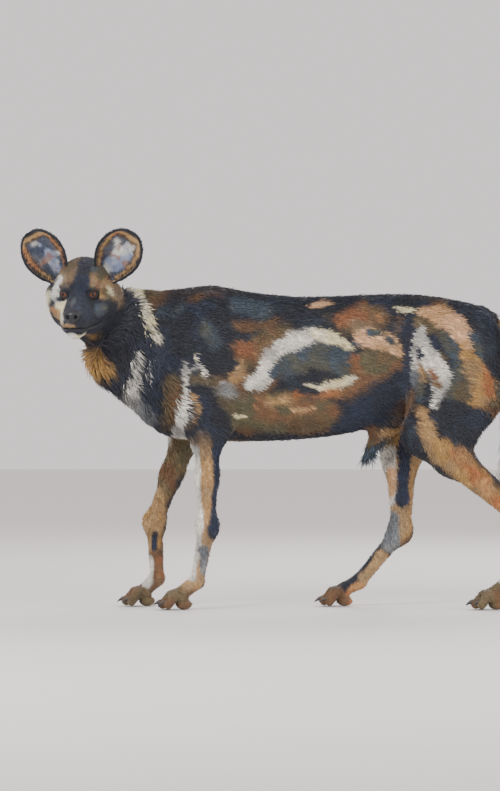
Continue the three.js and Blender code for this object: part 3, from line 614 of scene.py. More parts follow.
NEAR_LEGS = {
    "foreleg_left": [
        (TAN, [(205, 452, 22), (208, 520, 20), (203, 600, 24)], 5),
        (NAVY, [(217, 430, 8), (219, 470, 6), (217, 510, 6), (214, 530, 6)], 3),
        (WHITE, [(194, 448, 7), (196, 480, 5), (199, 515, 5), (196, 550, 5), (192, 575, 4)], 2),
        (GREY, [(204, 548, 5), (205, 568, 5)], 3),
        (BROWN, [(176, 600, 14), (196, 602, 14)], 5),
        (NAVY, [(204, 590, 4), (210, 578, 3)], 3),
    ],
    "foreleg_right": [
        (OLIVE, [(178, 430, 22), (170, 460, 20)], 6),
        (BROWN, [(165, 470, 12), (160, 495, 12)], 5),
        (GOLD, [(156, 500, 10), (150, 525, 12), (150, 545, 9)], 5),
        (NAVY, [(149, 500, 3)], 2),
        (NAVY, [(154, 535, 3), (153, 550, 3)], 2),
        (WHITE, [(148, 560, 5), (147, 585, 5)], 3),
        (RUST, [(160, 560, 5), (162, 590, 5)], 4),
        (BROWN, [(135, 602, 12), (155, 602, 12)], 5),
    ],
    "hindleg_left": [
        (GOLD, [(440, 450, 14), (465, 470, 14), (490, 500, 14)], 6),
        (ORANGE, [(455, 452, 8), (480, 482, 8), (500, 505, 8)], 6),
        (TAN, [(510, 520, 20), (508, 560, 18)], 6),
        (WHITE, [(500, 540, 6), (499, 575, 5)], 3),
        (BROWN, [(486, 602, 14), (508, 600, 14)], 5),
    ],
    "hindleg_right": [
        (TAN, [(400, 450, 25), (395, 520, 24)], 6),
        (WHITE, [(388, 452, 8), (389, 475, 7), (390, 500, 5)], 3),
        (PEACH, [(392, 470, 4), (391, 492, 4)], 2),
        (NAVY, [(406, 440, 7), (405, 470, 6), (404, 500, 6)], 3),
        (GREY, [(392, 520, 9), (392, 545, 9)], 4),
        (TAN, [(382, 560, 9), (368, 580, 9)], 4),
        (ORANGE, [(362, 590, 8), (350, 600, 8)], 4),
        (BROWN, [(335, 602, 14), (320, 604, 14)], 5),
    ],
}


def mixed(tint, run):
    """A colour with its partner run into it, by an amount from 0 to 1 at each point."""
    for own, other in PARTNERS:
        if tint is own:
            return lerp(tint, other, run[:, None])
    return np.tile(tint, (len(run), 1))


def wash(base, tint, amount):
    """A colour laid over the base, by an amount from 0 to 1 at each point."""
    return lerp(base, tint, amount[:, None])


def paint(base, px, strokes, warp, vary, run):
    """Lays each stroke over base, with edges broken up by the warp."""
    for tint, line, soft in strokes:
        line = np.array(line, float)
        near = np.full(len(px), 1e9)
        last = len(line) - 1
        for i in range(max(last, 1)):
            a, b = line[i], line[min(i + 1, last)]
            d = b[:2] - a[:2]
            t = np.clip(((px - a[:2]) @ d) / max(d @ d, 1e-6), 0, 1)
            reach = np.hypot(*(px - a[:2] - t[:, None] * d).T) - lerp(a[2], b[2], t)
            near = np.minimum(near, reach)
        amount = smoothstep(-(near + warp * min(soft * 1.3, 7)), -soft * 0.5, soft * 0.5)
        base = wash(base, mixed(tint, run) * vary, amount)
    return base


def near_leg(p):
    """For each point, the number of the leg that it is nearest to."""
    out = np.full(len(p), -1)
    best = np.full(len(p), 1e9)
    for i, leg in enumerate(LEGS.values()):
        for a, b in zip(JOINTS, JOINTS[1:]):
            d = limb(joint(leg, a), joint(leg, b), 30 if a == "shoulder" else 18, 18)(p)
            closer = d < best
            best = np.where(closer, d, best)
            out = np.where(closer, i, out)
    return out


# The far side has the same strokes, shifted by this many pixels and warped more
FAR_SHIFT = (14, 6)


def markings(p):
    """The coat's colour at points of the skin, in the drawing's frame."""
    x, y, z = p.T
    px = np.stack([x / PIXEL, -z / PIXEL], 1) + PICTURE_ORIGIN
    warp = (noise(p, 30, 3, 3) - 0.5) * 2
    wobble = np.stack([noise(p, 46, 21, 2) - 0.5, noise(p, 46, 31, 2) - 0.5], 1) * 9
    patchy = noise(p, 95, 5, 3)
    fine = noise(p, 26, 9, 2)
    base = np.tile(BROWN, (len(p), 1))
    base = wash(base, OLIVE, smoothstep(noise(p, 70, 40, 2), 0.45, 0.6) * 0.6)
    base = wash(base, INK, smoothstep(patchy, 0.44, 0.54))
    base = wash(base, SLATE, smoothstep(fine, 0.55, 0.72) * 0.35)
    warmth = wash(np.ones(3), [1.06, 1.0, 0.9], noise(p, 60, 66, 2))
    vary = (0.78 + 0.44 * noise(p, 22, 55, 3))[:, None] * warmth
    run = smoothstep(noise(p, 44, 88, 3), 0.42, 0.62) * 0.62
    shifted = px + wobble * 2.2 + FAR_SHIFT
    # The far side first, then the near side, which run into each other along the back and the belly
    far = paint(base, shifted, NEAR_SIDE, warp * 1.3, vary, run)
    far = paint(far, shifted, NEAR_FRONT, warp, vary, run)
    base = paint(base, px + wobble * 0.4, NEAR_SIDE, warp, vary, run)
    base = paint(base, px + wobble * 0.4, NEAR_FRONT, warp, vary, run)
    base = wash(base, far, smoothstep(y, -10, 14))
    top = TRUNK(x)[0]
    back = smoothstep(z - top, -26, -8) * smoothstep(x, -330, -280) * (1 - smoothstep(x, 330, 400))
    base = wash(base, INK, back * 0.85)
    which = near_leg(p)
    below = 1 - smoothstep(z + 26 * warp, 352, 398)
    below = np.where(x > 60, 1 - smoothstep(z + 26 * warp + 0.5 * (x - 300), 388, 440), below)
    for i, name in enumerate(LEGS):
        mine = (which == i) & (below > 0)
        legs = paint(base[mine], px[mine], NEAR_LEGS[name], warp[mine], vary[mine], run[mine])
        base[mine] = wash(base[mine], legs, below[mine])
    # Tail: tan root, black middle, white end
    tail = smoothstep(x, 426, 446) * (z > 230) * (np.abs(y) < TAIL_HALF_WIDTH)
    tail *= np.where(z > 420, 1, x > 452)
    hanging = -(z + 22 * warp)
    shade = wash(GOLD, INK, smoothstep(hanging, -545, -505))
    shade = wash(shade, WHITE, smoothstep(hanging, -400, -365))
    base = wash(base, shade, tail)
    return np.clip(base * (0.9 + 0.2 * noise(p, 9, 77, 1))[:, None], 0, 1)


FACE = [
    # (colour, centre, half sizes, softness) in the head's frame; +Y is the side nearer the body
    (TAUPE, (-20, -34, 44), (50, 36, 36), 14),
    (BROWN, (-34, -18, 60), (34, 20, 30), 12),
    (OLIVE, (-16, 36, 42), (46, 28, 34), 14),
    (SLATE, (-26, 30, 60), (28, 16, 18), 10),
    (TAN, (8, 32, 32), (14, 9, 11), 8),
    (WHITE, (-2, -48, 14), (24, 20, 30), 6),
    (CREAM, (-30, -66, -20), (28, 18, 28), 8),
    (GREY, (-16, -60, 34), (18, 12, 14), 8),
    (TAN, (-10, 60, 6), (30, 20, 28), 9),
    (GOLD, (-22, 66, 18), (18, 12, 18), 8),
    (OLIVE, (-4, 64, 2), (7, 14, 22), 6),
    (CREAM, (-14, 64, 8), (7, 12, 16), 5),
    (TAUPE, (-40, 74, -10), (26, 18, 30), 9),
    (CREAM, (20, -36, -26), (36, 16, 26), 6),
    (TAN, (12, -44, -42), (26, 16, 16), 7),
    (ORANGE, (4, -52, -30), (13, 12, 9), 5),
    (INK, (-30, 10, 62), (50, 14, 60), 9),
    (INK, (12, 10, 26), (26, 16, 30), 8),
    (INK, (46, 10, -12), (50, 16, 18), 7),
    (INK, (40, 30, -36), (56, 22, 28), 8),
    (INK, (-8, 54, -30), (38, 22, 22), 9),
    (INK, (10, -42, -8), (10, 10, 6), 5),
    (INK, (24, -30, -50), (10, 10, 8), 5),
    # Painted highlight: a thin slate strip along the top of the muzzle, lighter than the black round it,
    # where light catches the ridge
    (SLATE, (56, -4, -6), (28, 5, 10), 5),
    (SLATE, (20, 46, -30), (18, 16, 14), 9),
    (NAVY, (52, 26, -34), (22, 12, 12), 8),
    (INK, (88, 4, -44), (18, 24, 12), 5),
    (CREAM, (60, -22, -40), (30, 10, 16), 5),
    (TAN, (74, -18, -50), (18, 9, 9), 5),
    (TAN, (90, -8, -50), (14, 14, 6), 4),
    (CREAM, (62, -4, -82), (40, 26, 13), 6),
    (WHITE, (72, -8, -74), (26, 14, 7), 4),
    (GOLD, (-10, 10, -98), (40, 34, 18), 10),
]


def face(p, base):
    """Lays the face's patches over the coat's colour."""
    q = into_head(p)
    warp = (noise(p, 16, 61, 3) - 0.5) * 2
    amount = smoothstep(ahead_of_cut(p) + 14 * warp, -8, 16)
    skin = np.tile(INK * 1.3, (len(p), 1))
    vary = (0.8 + 0.4 * noise(p, 14, 57, 3))[:, None]
    run = smoothstep(noise(p, 20, 89, 3), 0.42, 0.62) * 0.6
    for tint, centre, half, soft in FACE:
        d = (q - np.array(centre)) / np.array(half)
        near = (np.linalg.norm(d, axis=1) - 1) * min(half) + warp * soft * 0.6
        skin = wash(skin, mixed(tint, run) * vary, smoothstep(-near, -soft * 0.5, soft * 0.5))
    for s in (1, -1):
        near = np.linalg.norm(q - EYES[s], axis=1) - EYE_RADIUS
        skin = wash(skin, INK * 0.4, 1 - smoothstep(near, 3.0, 6.5))
    lip = nearest(LIPS, q)
    skin = wash(skin, INK * 0.4, 1 - smoothstep(lip, 1.5, 4))
    skin = np.clip(skin * (0.86 + 0.28 * noise(p, 6, 78, 1))[:, None], 0, 1)
    inside = np.linalg.norm(p - from_head(vec(-20, 0, -10)), axis=1) < 190
    return wash(base, skin, amount * inside)


# The head's own cut from the neck, in its frame
CUT_AT = vec(-66, 60, -60)
CUT_NORMAL = unit(vec(0.45, -0.69, 0.55))


def ahead_of_cut(p):
    return (into_head(p) - CUT_AT) @ CUT_NORMAL


# Eyes, lids and mouth, in the head's frame
def gaze(s):
    return unit(vec(0.88, s * 0.42, 0.1))


def under_skin(start, direction, depth):
    """Where a ray from a point in the head leaves its skin, drawn back by the depth."""
    inside, outside = 0.0, 120.0
    if flesh(from_head(start)[None])[0] > 0:
        inside, outside = -80.0, 0.0
    for _ in range(24):
        middle = (inside + outside) / 2
        if flesh(from_head(start + direction * middle)[None])[0] < 0:
            inside = middle
        else:
            outside = middle
    return start + direction * (inside - depth)


SIDES = ((1, "left"), (-1, "right"))
EYES = {s: under_skin(vec(-20, s * 15, 0), gaze(s), EYE_RADIUS - 6) for s in (1, -1)}
# The mouth's line: from a point in the middle of the jaws, out towards a point of the lips
LIP_LINE = [
    (vec(70, 0, -57), vec(1, 0.12, 0)),
    (vec(66, 0, -58), vec(0.7, 0.7, 0)),
    (vec(50, 0, -60), vec(0.2, 1, 0)),
    (vec(26, 0, -61), vec(0.1, 1, 0)),
    (vec(2, 0, -57), vec(0.05, 1, 0)),
]


def axes_of(look):
    """Two directions at right angles to a gaze: across it and up."""
    across = unit(np.cross(vec(0, 0, 1), look))
    return across, np.cross(look, across)


def lid_rim(s, count, wide=0.95, tall=0.56, out=0.8):
    """An almond-shaped ring round the eyeball."""
    look = gaze(s)
    across, up = axes_of(look)
    turn = np.linspace(0, 2 * math.pi, count, endpoint=False)
    slant = 0.16 * np.cos(turn)
    rim = look + across * (wide * np.cos(turn) * s)[:, None] + up * (tall * np.sin(turn) + slant)[:, None]
    return EYES[s] + unit(rim) * (EYE_RADIUS + out)


def chain(points, radius, closed=False):
    points = list(points)
    ends = points[1:] + ([points[0]] if closed else [])
    return [limb(a, b, radius, radius) for a, b in zip(points, ends)]


def lips():
    line = [under_skin(start, unit(towards), 0.4) for start, towards in LIP_LINE]
    left = spline(line, np.linspace(0, 1, 12))
    return np.concatenate([left[::-1], left * [1, -1, 1]])


RIMS = [piece for s in (1, -1) for piece in chain(lid_rim(s, 16), 2.1, closed=True)]
LIPS = chain(lips(), 1.5)
LOWER_LIPS = chain(lips() + [0, 0, -3.4], 2.6)


def nearest(pieces, q):
    d = pieces[0](q)
    for piece in pieces[1:]:
        d = np.minimum(d, piece(q))
    return d


def carve(width, a, b):
    return -join(width, -a, b)


def coat_depth(p):
    on_head = 1 - smoothstep(np.linalg.norm(into_head(p) - [0, 0, -15], axis=1), 112, 150)
    depth = lerp(LEG_COAT, BODY_COAT, smoothstep(p[:, 2], 190, 370))
    return lerp(depth, HEAD_COAT, on_head)


def skin_field(p):
    return whole(p) + coat_depth(p)


def head_field(p):
    d = skin_field(p)
    q = into_head(p)
    for s in (1, -1):
        close = np.linalg.norm(q - EYES[s], axis=1) < 40
        if close.any():
            ball = np.linalg.norm(q[close] - EYES[s], axis=1) - (EYE_RADIUS + 0.2)
            d[close] = carve(1.5, d[close], ball)
    near = (q[:, 0] > -30) & (np.abs(q[:, 1]) < 75) & (q[:, 2] > -85)
    if near.any():
        r = q[near]
        e = join(3.5, d[near], nearest(RIMS, r))
        e = join(5, e, nearest(LOWER_LIPS, r))
        d[near] = carve(1.2, e, nearest(LIPS, r))
    return d


# Pieces
def add_object(name, data):
    made = bpy.data.objects.new(name, data)
    bpy.context.scene.collection.objects.link(made)
    return made


def add_piece(name, points, faces, tint, material, slot, *nodes, uv=None):
    """A piece from points in the drawing's frame, faces of 3 or 4 corners and a colour for each point.

    It rides the body, and takes the place of the nodes, if any are given.
    """
    mesh = bpy.data.meshes.new(name)
    faces = np.asarray(faces)
    count, sides = faces.shape
    mesh.vertices.add(len(points))
    mesh.vertices.foreach_set("co", to_row(points).ravel())
    mesh.loops.add(count * sides)
    mesh.loops.foreach_set("vertex_index", faces.ravel().astype(np.int32))
    mesh.polygons.add(count)
    mesh.polygons.foreach_set("loop_start", np.arange(count, dtype=np.int32) * sides)
    mesh.polygons.foreach_set("use_smooth", np.ones(count, bool))
    mesh.update(calc_edges=True)
    shade = mesh.color_attributes.new("Col", "FLOAT_COLOR", "POINT")
    shade.data.foreach_set("color", np.concatenate([tint, np.ones((len(tint), 1))], 1).ravel())
    if uv is not None:
        layer = mesh.uv_layers.new(name="OFBake")
        layer.data.foreach_set("uv", uv[faces.ravel()].ravel())
    mesh.validate()
    piece = add_object(name, mesh)
    mesh.materials.append(material)
    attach(piece, "root")
    if nodes:
        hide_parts(*nodes)


def ring_quads(rows, sides):
    """Faces of a tube whose points are numbered ring by ring."""
    i, j = np.meshgrid(np.arange(rows), np.arange(sides), indexing="ij")
    k = (j + 1) % sides
    below, above = i * sides, (i + 1) * sides
    return np.stack([below + j, below + k, above + k, above + j], -1).reshape(-1, 4)


def set_inputs(node, values):
    for name, value in values.items():
        node.inputs[name].default_value = value


def new_material(name, roughness):
    material = bpy.data.materials.new(name)
    material.use_nodes = True
    principled = material.node_tree.nodes["Principled BSDF"]
    set_inputs(principled, {"Roughness": roughness})
    return material, principled


def shaded(name, roughness, scale, bump, sheen=0.0, coat=0.0, specular=0.5):
    """A material that takes its colour from the mesh, with fine noise in its colour and surface."""
    material, principled = new_material(name, roughness)
    nodes = material.node_tree.nodes
    link = material.node_tree.links.new
    col = nodes.new("ShaderNodeAttribute")
    col.attribute_name = "Col"
    grain = nodes.new("ShaderNodeTexNoise")
    set_inputs(grain, {"Scale": scale, "Detail": 4})
    ramp = nodes.new("ShaderNodeMapRange")
    set_inputs(ramp, {"To Min": 0.82, "To Max": 1.14})
    mix = nodes.new("ShaderNodeVectorMath")
    mix.operation = "SCALE"
    lift = nodes.new("ShaderNodeBump")
    set_inputs(lift, {"Strength": bump, "Distance": 0.001})
    link(grain.outputs["Fac"], ramp.inputs["Value"])
    link(col.outputs["Color"], mix.inputs[0])
    link(ramp.outputs["Result"], mix.inputs["Scale"])
    link(mix.outputs["Vector"], principled.inputs["Base Color"])
    link(grain.outputs["Fac"], lift.inputs["Height"])
    link(lift.outputs["Normal"], principled.inputs["Normal"])
    set_inputs(principled, {"Specular IOR Level": specular, "Sheen Weight": sheen})
    set_inputs(principled, {"Coat Weight": coat, "Coat Roughness": 0.03})
    return material


SKIN = shaded("short_coat", 0.78, 420, 0.8, sheen=0.15)
HAIR = shaded("long_coat", 0.7, 260, 0.2, sheen=0.1)
EYE = shaded("wet_eye", 0.12, 30, 0.0, coat=0.4, specular=0.2)
NOSE_SKIN = shaded("nose_skin", 0.42, 700, 0.9, coat=0.25)
HORN = shaded("claw_horn", 0.38, 160, 0.3)


# Skin: the body on a medium grid, the head on a fine one, cut along one plane through the throat
BODY_BOX = (-640, -260, -30), (560, 160, 800)
BODY_CELL = 4.0
HEAD_BOX = (-640, -250, 540), (-370, 90, 790)
HEAD_CELL = 1.7
CUT_OVERLAP = 2
CLEAR_OF_FLOOR = 0.2

body_points, body_quads = surface(skin_field, *BODY_BOX, BODY_CELL)
behind = ahead_of_cut(body_points[body_quads].mean(1)) < CUT_OVERLAP
body_points, body_quads = pick(body_points, body_quads, behind)
body_points[:, 2] = np.maximum(body_points[:, 2], CLEAR_OF_FLOOR)
head_points, head_quads = surface(head_field, *HEAD_BOX, HEAD_CELL)
ahead = ahead_of_cut(head_points[head_quads].mean(1)) > -CUT_OVERLAP
head_points, head_quads = pick(head_points, head_quads, ahead)


def coat_colour(p):
    return face(p, markings(p))


BODY_PARTS = ("torso", "neck", "tail", "foreleg", "hindleg", "forepaw", "hindpaw")
BODY_NODES = [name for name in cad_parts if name.startswith(BODY_PARTS)]
add_piece("skin_body", body_points, body_quads, coat_colour(body_points), SKIN, "torso", *BODY_NODES)
add_piece("skin_head", head_points, head_quads, coat_colour(head_points), SKIN, "head", "head")


# Eyes: a ball whose colours run out from the pupil, with a wet coat
def globe(centre, radius, look, rows=40, columns=56):
    side, up = axes_of(look)
    polar = np.linspace(0, math.pi, rows + 1)
    around = np.linspace(0, 2 * math.pi, columns, endpoint=False)
    a, b = np.meshgrid(polar, around, indexing="ij")
    bulge = 1 + 0.06 * np.exp(-((a / 0.5) ** 2))
    outward = np.cos(b)[..., None] * side + np.sin(b)[..., None] * up
    d = np.cos(a)[..., None] * look + np.sin(a)[..., None] * outward
    points = (centre + radius * bulge[..., None] * d).reshape(-1, 3)
    return points, ring_quads(rows, columns)[:, ::-1], a.ravel(), b.ravel()


IRIS = colour("7a3f1c")
IRIS_RIM = colour("2a1810")
EYE_WHITE = colour("54463a")


def eye_tint(polar, around):
    rays = 0.5 + 0.5 * np.sin(around * 23 + 3 * np.sin(around * 7))
    iris = IRIS * (0.55 + 0.6 * rays[:, None] * smoothstep(polar, 0.2, 0.6)[:, None])
    tint = wash(INK * 0.1, iris, smoothstep(polar, 0.25, 0.29))
    tint = wash(tint, IRIS_RIM, smoothstep(polar, 0.56, 0.66))
    return wash(tint, EYE_WHITE, smoothstep(polar, 0.72, 0.85))


for s, hand in SIDES:
    points, quads, polar, around = globe(from_head(EYES[s]), EYE_RADIUS, gaze(s) @ HEAD_TURN.T)
    add_piece(f"eyeball_{hand}", points, quads, eye_tint(polar, around), EYE, f"eye_{hand}", f"eye_{hand}")


# Nose pad with nostrils
NOSE_CENTRE = vec(93, 0, -29)
NOSE_HALF = (13, 20, 14)


def nose_field(q):
    pad = muscle(NOSE_CENTRE, NOSE_HALF)(q)
    pad = join(6, pad, muscle(NOSE_CENTRE + vec(2, 0, -9), (9, 10, 8))(q))
    for s in (1, -1):
        pad = carve(2, pad, muscle(vec(105, s * 9, -30), (7, 4.2, 4.6))(q))
        pad = carve(2, pad, limb(vec(105, s * 10, -32), vec(99, s * 19, -33), 1.7, 1.0)(q))
    return carve(1.5, pad, limb(vec(108, 0, -24), vec(104, 0, -46), 0.8, 1.1)(q))


nose_points, nose_quads = surface(nose_field, (76, -24, -54), (112, 24, -10), 0.8)
nose_tint = np.tile(INK * 0.45, (len(nose_points), 1))
add_piece("nose_pad", from_head(nose_points), nose_quads, nose_tint, NOSE_SKIN, "nose", "nose")


# Ears: thin cups, wide and round above, curled into a funnel at the root
EAR_THICKNESS = 5
EAR_WIDEST = 0.52


def ear_frame(s):
    up = unit(vec(-0.06, s * 0.5, 0.86))
    front = vec(0.97, s * 0.22, 0)
    front = unit(front - up * (front @ up))
    across = unit(np.cross(up, front) * s)
    return vec(-34, s * 50, 28), up, front, across


def ear_at(s, u, v, depth):
    """A point of an ear in the head's frame: u up it, v across it, depth out of its middle sheet."""
    root, up, front, across = ear_frame(s)
    low = (EAR_WIDTH / 2) * (0.4 + 0.6 * np.sin(math.pi / 2 * u / EAR_WIDEST))
    high = (EAR_WIDTH / 2) * np.sqrt(np.maximum(1 - ((u - EAR_WIDEST) / (1 - EAR_WIDEST)) ** 2, 0))
    w = np.where(u < EAR_WIDEST, low, high)
    curl = lerp(1.6, 0.75, smoothstep(u, 0, 0.6))
    radius = w / np.sin(np.minimum(curl, math.pi / 2))
    turn = v * curl
    r = radius + depth
    back = -(r * np.cos(turn) - radius * np.cos(curl))
    return (
        root
        + up * (EAR_HEIGHT * u)[..., None]
        + across * (r * np.sin(turn))[..., None]
        + front * (back + 10 * u)[..., None]
    )


def make_ear(s, hand):
    rows, columns = 44, 36
    u = np.linspace(0, 0.992, rows + 1)
    v = np.linspace(-1, 1, columns + 1)
    uu, vv = np.meshgrid(u, v, indexing="ij")
    thick = (EAR_THICKNESS - 1.4) * (1.5 - 0.8 * uu) / 2
    back = ear_at(s, uu, vv, thick)
    front = ear_at(s, uu, vv, -thick)[:, ::-1]
    ring = 2 * (columns + 1)
    points = np.concatenate([back, front], 1).reshape(-1, 3)
    c = np.arange(columns)
    top = rows * ring
    caps = np.stack([top + c, top + c + 1, top + ring - 2 - c, top + ring - 1 - c], 1)
    quads = np.concatenate([ring_quads(rows, ring), caps])
    edge = np.concatenate([1 - np.abs(vv), 1 - np.abs(vv[:, ::-1])], 1).reshape(-1)
    height = np.concatenate([uu, uu], 1).reshape(-1)
    inner = np.concatenate([np.zeros_like(uu), np.ones_like(uu)], 1).reshape(-1)
    points = from_head(points)
    quads = quads if s > 0 else quads[:, ::-1]
    cup = ear_tint(s, points, height, edge, inner)
    add_piece(f"ear_cup_{hand}", points, quads, cup, SKIN, f"ear_{hand}", f"ear_{hand}")


EAR_BLUE = colour("8490ac")


def ear_tint(s, p, height, edge, inner):
    """Black back and rim, then an ochre ring, a broken dark line and a pale grey cup."""
    warp = (noise(p, 16, 90 + s, 3) - 0.5) * 0.34
    rim = np.minimum(edge * 1.5, (0.992 - height) * 3.0)
    dark = np.tile(INK * 0.75, (len(p), 1))
    pale = wash(WHITE * 0.8, EAR_BLUE, smoothstep(noise(p, 20, 33, 2), 0.3, 0.7))
    shadow = smoothstep(noise(p, 30, 15 + s, 2) + 0.34 * (0.86 - rim), 0.44, 0.56)
    cup = wash(pale, NAVY * 0.8, shadow * 0.85)
    spot = smoothstep(noise(p, 18, 52 + s, 2), 0.62, 0.7)
    cup = wash(cup, RUST, spot * 0.7)
    ring = wash(TAN, ORANGE, smoothstep(noise(p, 40, 44, 2), 0.5, 0.62) * 0.7)
    line = smoothstep(rim + warp, 0.34, 0.4) * (1 - smoothstep(rim + warp, 0.5, 0.56))
    tint = wash(ring, cup, smoothstep(rim + warp, 0.46, 0.56))
    tint = wash(tint, dark, line * 0.8)
    tint = wash(dark, tint, smoothstep(rim + warp * 0.3, 0.1, 0.17))
    return wash(dark, tint, inner)


for s, hand in SIDES:
    make_ear(s, hand)


# Claws: curved cones from the toes' tips
CLAW_ROOT = colour("4a4038")


CLAW_REACH = 16


def make_claws(name, leg):
    rings, sides = 10, 12
    for k, spread in enumerate(TOE_FAN):
        tip = toe_tip(leg, k)
        t = np.linspace(0, 1, rings + 1)
        radius = lerp(4.9, 0.7, t**1.3)
        centre = tip + np.stack([-5 - CLAW_REACH * t, np.sign(spread) * 2 * t, 6 - 8 * t * t], 1)
        a = np.linspace(0, 2 * math.pi, sides, endpoint=False)
        ring = np.stack([0 * a, 0.7 * np.cos(a), np.sin(a)], 1)
        points = (centre[:, None] + radius[:, None, None] * ring).reshape(-1, 3)
        points = np.concatenate([points, [centre[-1] + [-0.7, 0, -0.1]]])
        last = rings * sides + np.arange(sides)
        end = np.full(sides, len(points) - 1)
        quads = np.concatenate([ring_quads(rings, sides), np.stack([last, np.roll(last, -1), end, end], 1)])
        tint = wash(CLAW_ROOT, INK, np.append(np.repeat(t, sides), 1))
        triangles = np.concatenate([quads[:, [0, 1, 2]], quads[quads[:, 2] != quads[:, 3]][:, [0, 2, 3]]])
        claw = f"claw_{name}_{k + 1}"
        add_piece(f"nail_{name}_{k + 1}", points, triangles, tint, HORN, claw, claw)


for leg_name, leg in LEGS.items():
    make_claws(leg_name.replace("leg", "paw"), leg)


# Coat: tufts over the skin, each a closed blade of three sides that bends back towards its tip
def turned(a, b):
    """The angle of (a, b) as a share of a full turn, from 0 to 1."""
    return np.arctan2(a, b) / (2 * math.pi) + 0.5


def atlas(p):
    """Where a root lies on an unwrap of the skin's own shape: each region rolled out in its own strip."""
    x, y, z = p.T
    q = into_head(p)
    which = near_leg(p)
    on_head = ahead_of_cut(p) > 0
    on_leg = (z < 400) & ~on_head
    on_tail = (x > 440) & (np.abs(y) < TAIL_HALF_WIDTH) & ~on_leg
    uv = np.empty((len(p), 2))

    def lay(mine, along, across):
        uv[mine] = np.stack([along, across], 1)[mine]

    lay(slice(None), 0.01 + 0.97 * share(x, -470, 450), 0.01 + 0.46 * turned(y, z - 530))
    lay(on_head, 0.01 + 0.3 * share(q[:, 0], -130, 110), 0.5 + 0.2 * turned(q[:, 1], q[:, 2] + 20))
    for i, leg in enumerate(LEGS.values()):
        shank = np.interp(z, [20, 62, 185, 385], [leg[k][0] for k in ("toe", "ankle", "wrist", "knee")])
        turn = turned(y - leg["side"] * STANCE, x - shank)
        lay(on_leg & (which == i), 0.34 + 0.6 * share(z, 0, 420), 0.5 + 0.09 * i + 0.08 * turn)
    lay(on_tail, 0.01 + 0.3 * share(z, 250, 650), 0.72 + 0.1 * turned(y, x - 478))
    return uv


def flow(p):
    """The way the hair lies at points of the skin."""
    q = into_head(p)
    lie = np.tile(vec(1, 0, -0.38), (len(p), 1))
    on_neck = smoothstep(-p[:, 0], 215, 330)
    lie = wash(lie, vec(0.62, 0, -0.8), on_neck)
    low = 1 - smoothstep(p[:, 2], 330, 430)
    lie = wash(lie, vec(0.16, 0, -1), low)
    rump = smoothstep(p[:, 0], 370, 430)
    lie = wash(lie, vec(0.25, 0, -1), rump)
    sideways = 0.45 * np.sign(q[:, 1]) * smoothstep(np.abs(q[:, 1]), 10, 50)
    upwards = 0.25 * smoothstep(q[:, 2], -20, 40) - 0.1
    away = np.stack([-np.ones(len(q)), sideways, upwards], 1)
    on_head = smoothstep(ahead_of_cut(p), -30, 10)
    return unit(wash(lie, away @ HEAD_TURN.T, on_head))


def scatter(points, quads, density):
    """Random points over the faces, density(p) of them per square millimetre, kept in order of x."""
    corners = points[quads]
    middle = corners.mean(1)
    diagonals = (corners[:, 2] - corners[:, 0], corners[:, 3] - corners[:, 1])
    size = 0.5 * np.linalg.norm(np.cross(*diagonals), axis=1)
    number = rng.poisson(size * density(middle))
    which = np.repeat(np.arange(len(quads)), number)
    a, b = rng.random(len(which))[:, None], rng.random(len(which))[:, None]
    c = corners[which]
    return lerp(lerp(c[:, 0], c[:, 1], a), lerp(c[:, 3], c[:, 2], a), b)


# Pieces stay small enough to bake
MOST_TUFTS = 18000
# A blade's faces: points 0 to 2 round its root, 3 to 5 round its middle and 6 at its tip
BLADE = np.array([
    [0, 1, 4], [0, 4, 3], [1, 2, 5], [1, 5, 4], [2, 0, 3],
    [2, 3, 5], [3, 4, 6], [4, 5, 6], [5, 3, 6], [0, 2, 1],
])
# Each tuft's own small patch of the atlas, about its root's place, for the seven points of a blade
PATCH = 0.0015 * np.array([(-1, -1), (1, -1), (0, -1), (-1, 0.5), (1, 0.5), (0, 0.5), (0, 1)])


def grow(name, slot, roots, normals, lie, length, width, lift, tint, droop=0.5, sway=0.3):
    """Tufts at the roots, in pieces of MOST_TUFTS at most; droop under 1 bends the tips down."""
    count = len(roots)
    side = unit(np.cross(normals, lie))
    lie = np.cross(side, normals)
    yaw = rng.normal(0, sway, count)[:, None]
    lie, side = lie * np.cos(yaw) + side * np.sin(yaw), side * np.cos(yaw) - lie * np.sin(yaw)
    lift = np.clip(lift + rng.normal(0, 0.1, count), 0.06, 1.3)[:, None]
    length = (length * rng.uniform(0.7, 1.2, count))[:, None]
    width = np.broadcast_to(width, (count,))[:, None]
    middle = roots + length * 0.55 * (lie * np.cos(lift) + normals * np.sin(lift))
    end = roots + length * (lie * np.cos(lift * droop) + normals * np.sin(lift * droop))
    low = roots - normals * 1.2
    blades = np.empty((count, 7, 3))
    for k, (across, out) in enumerate([(-0.5, 0.0), (0.5, 0.0), (0.0, 0.42)]):
        blades[:, k] = low + side * across * width + normals * out * width
        blades[:, 3 + k] = middle + side * across * width * 0.8 + normals * out * width * 0.8
    blades[:, 6] = end
    shade = rng.uniform(0.82, 1.16, count)[:, None] * tint
    tints = np.empty((count, 7, 3))
    # Painted shade and highlight: each tuft is darker at its root, where the coat shades it, and lighter at
    # its tip, as a painted highlight
    tints[:, :3] = (shade * 0.72)[:, None]
    tints[:, 3:6] = shade[:, None]
    tints[:, 6] = shade * 1.12
    spots = atlas(roots)[:, None] + PATCH
    order = np.argsort(roots[:, 0], kind="stable")
    parts = max(1, math.ceil(count / MOST_TUFTS))
    for n, some in enumerate(np.array_split(order, parts)):
        faces = (np.arange(len(some))[:, None, None] * 7 + BLADE).reshape(-1, 3)
        points = blades[some].reshape(-1, 3)
        shades = np.clip(tints[some].reshape(-1, 3), 0, 1)
        add_piece(f"{name}_{n + 1}", points, faces, shades, HAIR, slot, uv=spots[some].reshape(-1, 2))


